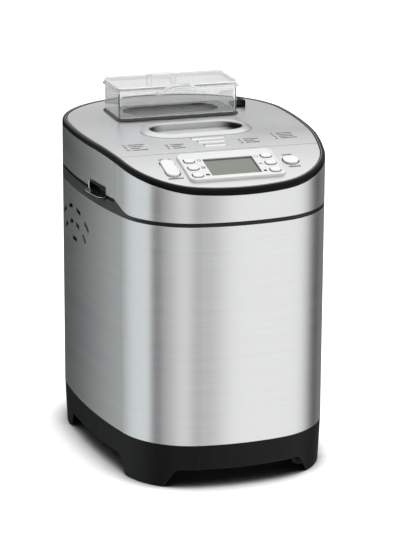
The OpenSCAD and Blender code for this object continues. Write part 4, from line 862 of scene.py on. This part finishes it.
class BREAD_OT_mouldings(bpy.types.Operator):
    """Moulded plastic and rubber of the outside: base, frames, catch, grips, keys, rocker and start button"""
    bl_idname = "bread.mouldings"
    bl_label = "Mouldings"

    def execute(self, context):
        s = context.scene.bread_plastic
        finish((
            # Painted highlight: the base's lighter edge tone, shown along the arches' edges, stands in for
            # highlights.
            ("base_moulding", s.base_colour, shade_of(s.base_colour, 0.75), (0.34, 0.44),
             dict(speckle=1300.0, bump=0.22, bump_size=0.00006, edge=0.0012, wear=((0.09, 0.09, 0.092), 0.5),
                  Specular_IOR_Level=0.13),
             "base_tray"),
            ("gloss_black", s.rim_colour, shade_of(s.rim_colour, 0.8), (0.16, 0.22),
             dict(speckle=500.0, bump=0.03, edge=0.0008, wear=((0.05, 0.05, 0.052), 0.25),
                  Specular_IOR_Level=0.09),
             "console_rim lid_rim lid_grips dispenser_latch lid_frame"),
            ("frame_moulding", s.frame_colour, shade_of(s.frame_colour, 0.85), (0.34, 0.42),
             dict(speckle=1100.0, bump=0.12, edge=0.0008, wear=((0.12, 0.12, 0.125), 0.35),
                  Specular_IOR_Level=0.35),
             "top_frame console_housing"),
            ("dispenser_moulding", (0.022, 0.022, 0.023), (0.014, 0.014, 0.015), (0.16, 0.22),
             dict(bump=0.06, edge=0.0012),
             "dispenser_base"),
            ("flap_moulding", (0.035, 0.035, 0.036), (0.022, 0.022, 0.023), (0.25, 0.32),
             dict(bump=0.06, edge=0.0008),
             "dispenser_flap"),
            ("key_moulding", s.key_colour, shade_of(s.key_colour, 0.96), (0.28, 0.34),
             dict(bump=0.05, edge=0.0007, wear=((0.62, 0.61, 0.58), 0.25)),
             "menu_key crust_key size_key timer_up_key timer_down_key light_key start_button program_rocker"),
            ("bezel_finish", s.bezel_colour, shade_of(s.bezel_colour, 0.95), (0.3, 0.36),
             dict(speckle=1400.0, bump=0.05, edge=0.001, Metallic=0.35),
             "display_bezel"),
            ("foot_rubber", (0.03, 0.03, 0.031), (0.018, 0.018, 0.019), (0.75, 0.9),
             dict(speckle=700.0, bump=0.4, edge=0.0006, dust=((0.16, 0.15, 0.14), 0.3)),
             "rubber_feet cord_gland drive_belt"),
        ))
        # Painted shade: the frame is grey in its side wedges and is painted near black round the front,
        # where it is a narrow gap in shade.
        frame_finish = bpy.data.materials["frame_moulding"]
        tree = frame_finish.node_tree
        front = rescale(tree, axes_of(tree)["Y"], *FRAME_SHADE_Y, smooth=True)
        lay_colour(frame_finish, front, shade_of(s.frame_colour, 0.1))
        return {"FINISHED"}


class BREAD_OT_rims(bpy.types.Operator):
    """Rounded black rims of the console and the lid, carried along the outline"""
    bl_idname = "bread.rims"
    bl_label = "Rims"

    def execute(self, context):
        gloss = bpy.data.materials["gloss_black"]
        # Painted highlight: a grey line along each black rim, in its own finish.
        line = surface("rim_highlight_line", (0.2, 0.2, 0.205), (0.14, 0.14, 0.145), (0.3, 0.36), speckle=700.0,
                       bump=0.04)
        for name, first_y, rear, body in (("console_rim", CONSOLE_END, False, "housing"),
                                          ("lid_rim", LID_START, True, "lid")):
            rim, fine_line = (rim_shape(first_y, rear, profile) for profile in (RIM_PROFILE, LINE_PROFILE))
            piece = make_piece(name + "_rounded", rim, gloss, body, RIM_SMOOTH_BELOW)
            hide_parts(name)
            make_piece(name + "_line", fine_line, line, body, RIM_SMOOTH_BELOW)
        return {"FINISHED"}


class BREAD_OT_clear_parts(bpy.types.Operator):
    """Clear plastic of the ingredient box and its cover, and the glass of the window"""
    bl_idname = "bread.clear_parts"
    bl_label = "Clear Parts"

    def execute(self, context):
        for name, tint, bend, haze, node in (
                ("clear_wall", (0.93, 0.935, 0.94), 1.3, 0.02, "dispenser_box"),
                ("clear_cover", (0.97, 0.975, 0.98), 1.05, 0.16, "dispenser_cover")):
            material, shader, _ = self.clear(name, tint, 0.04)
            shader.inputs["Transmission Weight"].default_value = 1.0 - haze
            shader.inputs["IOR"].default_value = bend
            dress(material, node)
        self.window_glass()
        self.cover_edge_highlights()
        return {"FINISHED"}

    def window_glass(self):
        """Smoked glass, shaded towards its border and its two ends, where the deep ring stands over it."""
        material, shader, coordinates = self.clear("window_glass", (0.5, 0.505, 0.51), 0.06)
        tree = material.node_tree
        axes = axes_of(tree, coordinates)
        half_x, half_y = (half * MM for half in WINDOW_HALF)
        reaches = (share * half_y for share in GLASS_BORDER_SHARES)
        border = rescale(tree, window_reach(tree, axes), *reaches, 0.0, 0.5, smooth=True)
        across = reckon(tree, "ABSOLUTE", axes["X"])
        ends = rescale(tree, across, *(share * half_x for share in GLASS_END_SHARES), smooth=True)
        shaded = reckon(tree, "MAXIMUM", border, ends)
        tone = blend_colours(tree, shaded, (0.66, 0.665, 0.67), (0.03, 0.03, 0.032))
        tree.links.new(tone, shader.inputs["Base Color"])
        shader.inputs["Alpha"].default_value = 0.9
        dress(material, "window_panes")

    def cover_edge_highlights(self):
        """Polished edges of the cover and its thumb lip, which catch the light."""
        def at_height(z):
            return lambda x, y, lift: np.stack(np.broadcast_arrays(x, y + DISPENSER_Y, z + lift), axis=-1)
        bright = surface("painted_edge_highlight", (0.95, 0.955, 0.96), (0.88, 0.885, 0.89), (0.1, 0.16), bump=0.03)
        half_x, half_y = COVER_HALF
        shapes = []
        for height, inset, corner, width, rise in COVER_EDGES:
            loop = rounded_loop(half_x - inset, half_y - inset, corner)
            shapes.append(bead(loop, width, at_height(height), 6, rise, rise))
        for inset, shorter in THUMB_EDGES:
            radius, half = THUMB_R - inset, THUMB_HALF - shorter
            x = np.linspace(-half, half, 33)
            z = THUMB_Z + np.sqrt(radius ** 2 - x ** 2) - EDGE_R - EDGE_SINK
            y = np.full_like(x, DISPENSER_Y - half_y - THUMB_LEAD)
            shapes.append(tube(np.stack([x, y, z], axis=-1), EDGE_R, 8))
        make_piece("cover_edge_highlights", join(shapes), bright, "cover")

    def clear(self, name, tint, rough):
        """A clear moulding with soft edges, a hard coat, faint clouding and a slight unevenness."""
        material, tree, shader, coordinates = new_finish(name)
        speckle = use_effect(tree, moulded_speckle(), Place=coordinates, Scale=60.0)
        edges = use_effect(tree, soft_edge(), Place=coordinates, Radius=0.0009)
        tone = blend_colours(tree, speckle["Tone"], shade_of(tint, 0.97), tint)
        tree.links.new(tone, shader.inputs["Base Color"])
        tree.links.new(rescale(tree, speckle["Tone"], 0, 1, rough, rough + 0.04), shader.inputs["Roughness"])
        uneven = {"Strength": 0.05, "Distance": 0.0002, "Height": speckle["Height"],
                  "Normal": edges["Normal"]}
        tree.links.new(place(tree, "ShaderNodeBump", uneven).outputs[0], shader.inputs["Normal"])
        shader.inputs["Coat Weight"].default_value = 1.0
        shader.inputs["Coat Roughness"].default_value = 0.03
        return material, shader, coordinates


class BREAD_OT_display(bpy.types.Operator):
    """Display window with its shaded border"""
    bl_idname = "bread.display"
    bl_label = "Display"

    def execute(self, context):
        s = context.scene.bread_display
        material, tree, shader, coordinates = new_finish("display_glass")
        _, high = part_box("lcd_glass")
        axes = axes_of(tree, coordinates)
        right, rear = (rescale(tree, axes[axis], *(edge - inset for inset in insets), smooth=True)
                       for axis, edge, insets in (("X", high[0], DISPLAY_SHADE_RIGHT),
                                                  ("Y", high[1], DISPLAY_SHADE_REAR)))
        cloud = noise(tree, coordinates, 45.0, 2.0)
        face = blend_colours(tree, cloud, shade_of(s.glass_colour, 0.93), shade_of(s.glass_colour, 1.07))
        # Painted shade: the display goes near black along its right and rear edges, where its recess shades
        # it.
        tone = blend_colours(tree, product(tree, right, rear), shade_of(s.glass_colour, 0.08), face)
        tree.links.new(tone, shader.inputs["Base Color"])
        tree.links.new(rescale(tree, cloud, 0, 1, 0.12, 0.18), shader.inputs["Roughness"])
        shader.inputs["Coat Weight"].default_value = 0.25
        shader.inputs["Coat Roughness"].default_value = 0.04
        dress(material, "lcd_glass")
        return {"FINISHED"}


class BREAD_OT_print(bpy.types.Operator):
    """Printed rows on the lid, short rows by the buttons, and signs by the keys"""
    bl_idname = "bread.print"
    bl_label = "Print"

    def execute(self, context):
        s = context.scene.bread_print
        ink = surface("print_ink", s.mark_colour, shade_of(s.mark_colour, 0.85), (0.5, 0.6), speckle=1500.0,
                      bump=0.05)
        rng = np.random.default_rng(PRINT_SEED)
        lid_words = []
        for left, first, pitch, lengths in PRINT_BLOCKS:
            for row, length in enumerate(lengths):
                y = first - row * pitch
                lid_words += [(left, y, length), (left - NUMBER_LEAD, y, NUMBER_LENGTH)]
        for name, words, lay, body in (("lid_print", lid_words, on_top, "lid"),
                                       ("console_print", CONSOLE_WORDS, on_console_skin, "housing")):
            strokes = [word(rng, *at, s.row_height) for at in words]
            centres, halves = (np.concatenate(parts) for parts in zip(*strokes))
            make_piece(name, plates(centres, halves, lay, s.mark_lift), ink, body)
        self.key_signs(ink, s.mark_lift)
        return {"FINISHED"}

    def key_signs(self, ink, lift):
        """Small signs beside the keys: a clock, three lines and a loaf at the left, a tile, a bar and a disc
        at the right."""
        def at(side, row):
            return lambda x, y, z: on_bezel(x + side * SIGN_U, y + KEY_ROWS[row], z)
        shapes = [
            bead(circle(1.9, 24), 0.5, at(-1, 0), 4, lift),
            plates([(0, 0.6), (0.5, 0)], [(0.2, 0.8), (0.7, 0.2)], at(-1, 0), lift),
            plates([(0, 1.4), (0, 0), (0, -1.4)], [(2.0, 0.33)] * 3, at(-1, 1), lift),
            patch(rounded_loop(2.0, 1.5, 1.2, 5), at(-1, 2), lift),
            bead(rounded_loop(1.8, 1.5, 0.4, 4), 0.45, at(1, 0), 4, lift),
            plates([(-0.9, 0), (0.9, 0), (0, 0)], [(0.35, 1.3), (0.35, 1.3), (1.2, 0.3)], at(1, 1), lift),
            patch(circle(1.7, 20), at(1, 2), lift),
        ]
        make_piece("key_signs", join(shapes), ink, "housing")


class BREAD_OT_trim(bpy.types.Operator):
    """Pressed louvres, border of the display plate, dark outlines of the keys, seams, vents and finger
    grips"""
    bl_idname = "bread.trim"
    bl_label = "Trim"

    def execute(self, context):
        ring, bezel = context.scene.bread_steel.ring_colour, context.scene.bread_plastic.bezel_colour
        # Painted shade: a near-black finish for pieces that stand in for shade in the louvre slots, key gaps,
        # seams and vents.
        shadow = surface("joint_shadow", (0.016, 0.016, 0.017), (0.01, 0.01, 0.011), (0.7, 0.85),
                         speckle=600.0, bump=0.05, Specular_IOR_Level=0.06)
        self.louvres(ring, shadow)
        # Painted highlight: the border bead is a lighter copy of the bezel's colour.
        border = surface("bezel_border_highlight", shade_of(bezel, 1.12), bezel, (0.24, 0.3), speckle=1400.0, bump=0.04,
                         Metallic=0.3)
        inset, corner, width, rise = BEZEL_BORDER
        loop = rounded_loop(*(half - inset for half in BEZEL_HALF), corner, 10)
        make_piece("bezel_border_highlight", bead(loop, width, on_bezel, 8, rise), border, "housing")
        self.key_gap_shades(shadow)
        height = np.linspace(GRIP_Z + SEAM_FOOT, top_height(SEAM_Y) - SEAM_HEAD, 12)
        paths = [on_side(side)(np.full_like(height, SEAM_Y), height, -SEAM_SINK) for side in (-1, 1)]
        seams = join(tube(path, SEAM_R, 6) for path in paths)
        make_piece("seam_shadows", seams, shadow, "housing")
        self.vents(shadow)
        self.grips()
        return {"FINISHED"}

    def louvres(self, ring, shadow):
        """Three bright bars, each with a dark slot behind it."""
        bright = surface("louvre_highlight_metal", shade_of(ring, 1.35), ring, (0.2, 0.26), Metallic=1.0,
                         speckle=1500.0, bump=0.04)
        bars = [louvre_bar(y - BAR_FORWARD, half + BAR_PAST, BAR_HALF_WIDTH, BAR_HEIGHT)
                for y, half in LOUVRES]
        make_piece("louvre_bars", join(bars), bright, "lid")
        loops = [rounded_loop(half + SLOT_PAST, SLOT_HALF_WIDTH, SLOT_CORNER, 4) + [0, y + SLOT_BEHIND]
                 for y, half in LOUVRES]
        slots = [patch(loop, on_top, 0.05) for loop in loops]
        make_piece("louvre_slot_shades", join(slots), shadow, "lid")

    def key_gap_shades(self, shadow):
        """The narrow gaps round the six keys, the rocker and the start button."""
        gap, corner, width, rise = KEY_OUTLINE
        key = rounded_loop(*(half + gap for half in KEY_HALF), corner)
        outlines = [bead(key + [column * KEY_U, row_v], width, on_bezel, 4, rise)
                    for column in (-1, 1) for row_v in KEY_ROWS[::-1]]
        gap, corner, width, rise = ROCKER_OUTLINE
        rocker = rounded_loop(*(half + gap for half in ROCKER_HALF), corner, 12) + ROCKER_AT
        outlines.append(bead(rocker, width, on_console_skin, 4, rise))
        gap, width, rise = START_OUTLINE
        outlines.append(bead(circle(START_R + gap, 48) + START_AT, width, on_console_skin, 4, rise))
        make_piece("key_gap_shades", join(outlines), shadow, "housing")

    def vents(self, shadow):
        """Dark felt just inside the wall behind the vents, and the dark edge of each slot."""
        depth, height = np.linspace(*VENT_SHADE_Y, 40), np.linspace(*VENT_SHADE_Z, 4)
        edges, shade_sheets = [], []
        for side in (-1, 1):
            lay = on_side(side)
            outer, inner = (lay(depth[:, None], height[None, :], -inset) for inset in VENT_SHADE_INSETS)
            shade_sheets.append(swept(np.concatenate([outer, inner[:, ::-1]], axis=1)))
            for radius, turns, length in VENT_ROWS:
                for turn in np.radians(turns):
                    spin = np.array([[math.cos(turn), math.sin(turn)], [-math.sin(turn), math.cos(turn)]])
                    middle = [VENT_Y - radius * math.sin(turn), VENT_Z + radius * math.cos(turn)]
                    loop = rounded_loop(length / 2, VENT_W / 2, VENT_W / 2, 6) @ spin + middle
                    edges.append(bead(loop, VENT_EDGE[0], lay, 4, VENT_EDGE[1]))
        make_piece("vent_shade_sheets", join(shade_sheets), shadow, "housing")
        make_piece("vent_edge_shades", join(edges), shadow, "housing")

    def grips(self):
        """Finger grips of the lid: a deep pocket with a spoon for a lip, the lip's pale front edge, and the
        bright cut edge of the band, a quarter of an oval that ends at the lid's edge."""
        gloss = surface("grip_gloss", (0.012, 0.012, 0.0125), (0.008, 0.008, 0.0085), (0.12, 0.18),
                        speckle=500.0, bump=0.03, edge=0.0008, Specular_IOR_Level=0.35)
        pale = surface("grip_lip_sheen", (0.42, 0.42, 0.425), (0.36, 0.36, 0.365), (0.2, 0.26), speckle=700.0,
                       bump=0.03)
        cut = surface("cut_glint", (0.98, 0.98, 0.98), (0.94, 0.94, 0.94), (0.12, 0.16), Metallic=1.0,
                      bump=0.03)
        turn = np.radians(np.linspace(0, 90, 9))
        cut_y, cut_z = CUT_Y - CUT_BEND * (1 - np.cos(turn)), GRIP_Z + CUT_FOOT + CUT_RISE * np.sin(turn)
        rings = [grip_scoop(side) for side in (-1, 1)]
        piece = make_piece("grip_scoops", join(swept(ring) for ring in rings), gloss, "lid")
        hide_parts("lid_grips")
        lips = join(tube(ring[2:-2, LIP_POINT], LIP_R, 6) for ring in rings)
        make_piece("grip_lip_highlights", lips, pale, "lid")
        cuts = join(tube(on_side(side)(cut_y, cut_z, CUT_OUT), CUT_R, 8) for side in (-1, 1))
        make_piece("grip_cut_glints", cuts, cut, "lid")


class BREAD_OT_inner_parts(bpy.types.Operator):
    """Finishes of the oven, pan, drive, boards and brackets inside"""
    bl_idname = "bread.inner_parts"
    bl_label = "Inner Parts"

    def execute(self, context):
        finish((
            ("galvanised_sheet", (0.62, 0.64, 0.66), (0.48, 0.50, 0.53), (0.3, 0.5),
             dict(Metallic=1.0, speckle=120.0, edge=0.0004, dust=((0.5, 0.49, 0.47), 0.15)),
             "bottom_plate pan_seat chassis_plate shaft_bearing heat_shield hinge_bracket"),
            ("oven_lining", (0.66, 0.66, 0.65), (0.54, 0.54, 0.53), (0.35, 0.5),
             dict(Metallic=1.0, speckle=300.0, bump=0.12, edge=0.0005),
             "oven_chamber lid_inner_plate dispenser_chute"),
            ("non_stick_coat", (0.045, 0.045, 0.047), (0.02, 0.02, 0.021), (0.35, 0.5),
             dict(Metallic=0.3, speckle=650.0, bump=0.25, edge=0.0008, wear=((0.2, 0.2, 0.2), 0.4)),
             "baking_pan kneading_paddle"),
            ("bright_steel", (0.72, 0.72, 0.73), (0.6, 0.6, 0.61), (0.18, 0.3),
             dict(Metallic=1.0, speckle=800.0, bump=0.05, edge=0.0003),
             "case_screws drive_shaft pan_handle pan_shaft hinge_pins solenoid_plunger"),
            ("element_sheath", (0.16, 0.145, 0.13), (0.08, 0.07, 0.06), (0.4, 0.6),
             dict(Metallic=0.8, speckle=260.0, bump=0.3),
             "heating_element"),
            ("probe_brass", (0.62, 0.5, 0.3), (0.5, 0.4, 0.24), (0.28, 0.4),
             dict(Metallic=1.0, speckle=500.0, bump=0.08, edge=0.0003),
             "temperature_probe"),
            ("pulley_moulding", (0.5, 0.5, 0.48), (0.42, 0.42, 0.4), (0.4, 0.5),
             dict(speckle=800.0, bump=0.12, edge=0.0005),
             "driven_pulley motor_pulley"),
            ("motor_laminations", (0.42, 0.42, 0.43), (0.27, 0.27, 0.28), (0.35, 0.5),
             dict(Metallic=1.0, grain=((20, 20, 1900), (6, 6, 400)), bump=0.25, edge=0.0004),
             "motor_housing motor_rotor"),
            ("capacitor_can", (0.68, 0.68, 0.69), (0.58, 0.58, 0.6), (0.25, 0.35),
             dict(Metallic=1.0, speckle=700.0, bump=0.05, edge=0.0004),
             "motor_capacitor"),
            ("coil_wrap", (0.36, 0.16, 0.07), (0.24, 0.1, 0.04), (0.4, 0.55),
             dict(grain=((1800, 40, 40), (400, 12, 12)), bump=0.3, edge=0.0005),
             "release_solenoid"),
            ("board_lacquer", (0.03, 0.13, 0.06), (0.015, 0.07, 0.03), (0.25, 0.4),
             dict(speckle=260.0, bump=0.2, edge=0.0003),
             "control_board power_board"),
            ("seal_silicone", (0.32, 0.31, 0.3), (0.26, 0.25, 0.24), (0.5, 0.6),
             dict(speckle=600.0, bump=0.12, edge=0.0006, Subsurface_Weight=0.1),
             "lid_seal"),
        ))
        return {"FINISHED"}


class BREAD_OT_studio(bpy.types.Operator):
    """Floor, light tent, large lamp and camera"""
    bl_idname = "bread.studio"
    bl_label = "Studio"

    def execute(self, context):
        s = context.scene.bread_studio
        self.light_tent(context.scene, s)
        self.floor(context.scene, s)
        lamp = bpy.data.lights.new("key_lamp", "AREA")
        lamp.shape, lamp.size, lamp.energy = "SQUARE", LAMP_SIZE, s.key_power
        holder = bpy.data.objects.new("key_lamp", lamp)
        context.scene.collection.objects.link(holder)
        place_at, target = Vector(LAMP_PLACE), Vector(LAMP_TARGET)
        turned = (target - place_at).to_track_quat("-Z", "Y").to_matrix().to_4x4()
        holder.matrix_world = Matrix.Translation(place_at) @ turned
        holder.visible_glossy = False
        self.camera(context.scene, s)
        context.scene.view_settings.view_transform = "Standard"
        return {"FINISHED"}

    def camera(self, scene, s):
        """The camera: forward is north turned right and tipped down, and right and up are level ones rolled
        about it."""
        camera = bpy.data.cameras.new("camera")
        camera.sensor_fit, camera.sensor_width, camera.sensor_height = "AUTO", 36.0, 24.0
        camera.lens, camera.clip_start, camera.clip_end = s.lens, 0.05, 60.0
        eye = bpy.data.objects.new("camera", camera)
        scene.collection.objects.link(eye)
        turn, tip, roll = (math.radians(angle) for angle in (CAMERA_TURN, CAMERA_TIP, CAMERA_ROLL))
        forward = Vector((math.sin(turn) * math.cos(tip), math.cos(turn) * math.cos(tip), -math.sin(tip)))
        level = Vector((math.cos(turn), -math.sin(turn), 0.0))
        upright = level.cross(forward)
        right = level * math.cos(roll) + upright * math.sin(roll)
        up = upright * math.cos(roll) - level * math.sin(roll)
        turned = Matrix((right, up, -forward)).transposed().to_4x4()
        eye.matrix_world = Matrix.Translation(CAMERA_PLACE) @ turned
        scene.camera = eye

    def light_tent(self, scene, s):
        """World: white behind the object, and round it a tent with upright soft panels under a bright
        ceiling. A panel is a smooth rise and fall over the bearing, and the rear wall is a little darker at
        the right."""
        world = bpy.data.worlds.new("light_tent")
        world.use_nodes = True
        tree = world.node_tree
        tree.nodes.clear()
        axes = axes_of(tree, place(tree, "ShaderNodeTexCoord").outputs["Generated"])
        bearing = reckon(tree, "ARCTAN2", product(tree, axes["X"], -1.0), axes["Y"])
        bearing = reckon(tree, "WRAP", product(tree, bearing, 180 / math.pi), 360.0, 0.0)
        panels = s.tent_base
        for rise, rise_soft, fall, fall_soft, brightness in TENT_PANELS:
            up = rescale(tree, bearing, rise - rise_soft, rise + rise_soft, smooth=True)
            down = rescale(tree, bearing, fall - fall_soft, fall + fall_soft, 1.0, 0.0, smooth=True)
            panels = reckon(tree, "MULTIPLY_ADD", product(tree, up, down), brightness, panels)
        height = axes["Z"]
        rear_wall = rescale(tree, bearing, *REAR_WALL_BEARINGS, *REAR_WALL_LEVELS)
        upper = blend_values(tree, rescale(tree, height, *PANELS_END, smooth=True), panels, rear_wall)
        tent = blend_values(tree, rescale(tree, height, *CEILING_START, smooth=True), upper, s.ceiling)
        ray = place(tree, "ShaderNodeLightPath").outputs
        behind = reckon(tree, "MAXIMUM", ray["Is Camera Ray"], ray["Is Transmission Ray"])
        cool = product(tree, rescale(tree, bearing, *COOL_BEARINGS, smooth=True),
                       rescale(tree, height, *COOL_HEIGHTS, smooth=True), ray["Is Glossy Ray"])
        light = {"Color": blend_colours(tree, cool, (1, 1, 1), s.cool_tint),
                 "Strength": blend_values(tree, behind, tent, 1.0)}
        background = place(tree, "ShaderNodeBackground", light)
        place(tree, "ShaderNodeOutputWorld", {"Surface": background.outputs[0]})
        scene.world = world

    def floor(self, scene, s):
        """A plain pale floor that keeps the object's shadow and goes black under it. The contact shadow is
        left off towards the right, where the lamp stands."""
        half = s.floor_half
        mesh = bpy.data.meshes.new("floor")
        corners = [(-half, -half, 0), (half, -half, 0), (half, half, 0), (-half, half, 0)]
        mesh.from_pydata(corners, [], [(0, 1, 2, 3)])
        floor = bpy.data.objects.new("floor", mesh)
        scene.collection.objects.link(floor)
        material = surface("floor_paper", (0.9, 0.9, 0.9), (0.885, 0.885, 0.885), (0.8, 0.9), speckle=30.0,
                           bump=0.02)
        tree, shader = material.node_tree, shader_of(material)
        shader.inputs["Emission Color"].default_value = (1, 1, 1, 1)
        reach = {"Distance": s.shadow_reach}
        sky = place(tree, "ShaderNodeAmbientOcclusion", reach, samples=12).outputs["AO"]
        right = rescale(tree, axes_of(tree)["X"], *SHADOW_END_X, 0.0, 0.9, smooth=True)
        lit = reckon(tree, "MAXIMUM", rescale(tree, sky, *SHADOW_SKY, smooth=True), right)
        # Painted shadow: the floor's colour and its glow for the camera go black where it sees little sky.
        lay_colour(material, reckon(tree, "SUBTRACT", 1.0, lit), (0.0, 0.0, 0.0))
        camera_ray = place(tree, "ShaderNodeLightPath").outputs["Is Camera Ray"]
        tree.links.new(product(tree, camera_ray, lit, s.floor_glow), shader.inputs["Emission Strength"])
        mesh.materials.append(material)
        floor.visible_glossy = False


class BREAD_PT_panel(bpy.types.Panel):
    """Bread machine pieces and their settings"""
    bl_label = "Bread Machine"
    bl_idname = "BREAD_PT_panel"
    bl_space_type = "VIEW_3D"
    bl_region_type = "UI"
    bl_category = "Bread Machine"

    def draw(self, context):
        for operator in OPERATORS:
            self.layout.operator(operator.bl_idname)
        for pointer, group in SETTINGS.items():
            box = self.layout.box()
            for name in group.__annotations__:
                box.prop(getattr(context.scene, pointer), name)


OPERATORS = (
    BREAD_OT_steel, BREAD_OT_mouldings, BREAD_OT_rims, BREAD_OT_clear_parts, BREAD_OT_display, BREAD_OT_print,
    BREAD_OT_trim, BREAD_OT_inner_parts, BREAD_OT_studio,
)
CLASSES = (*SETTINGS.values(), *OPERATORS, BREAD_PT_panel)


def register():
    for cls in CLASSES:
        bpy.utils.register_class(cls)
    for pointer, group in SETTINGS.items():
        setattr(bpy.types.Scene, pointer, PointerProperty(type=group))


def unregister():
    for pointer in SETTINGS:
        delattr(bpy.types.Scene, pointer)
    for cls in reversed(CLASSES):
        bpy.utils.unregister_class(cls)


def main():
    """Registers the classes, runs the operators in order and writes the two boxes."""
    register()
    for operator in OPERATORS:
        getattr(bpy.ops.bread, operator.bl_idname.split(".")[1])()


if __name__ == "__main__":
    main()
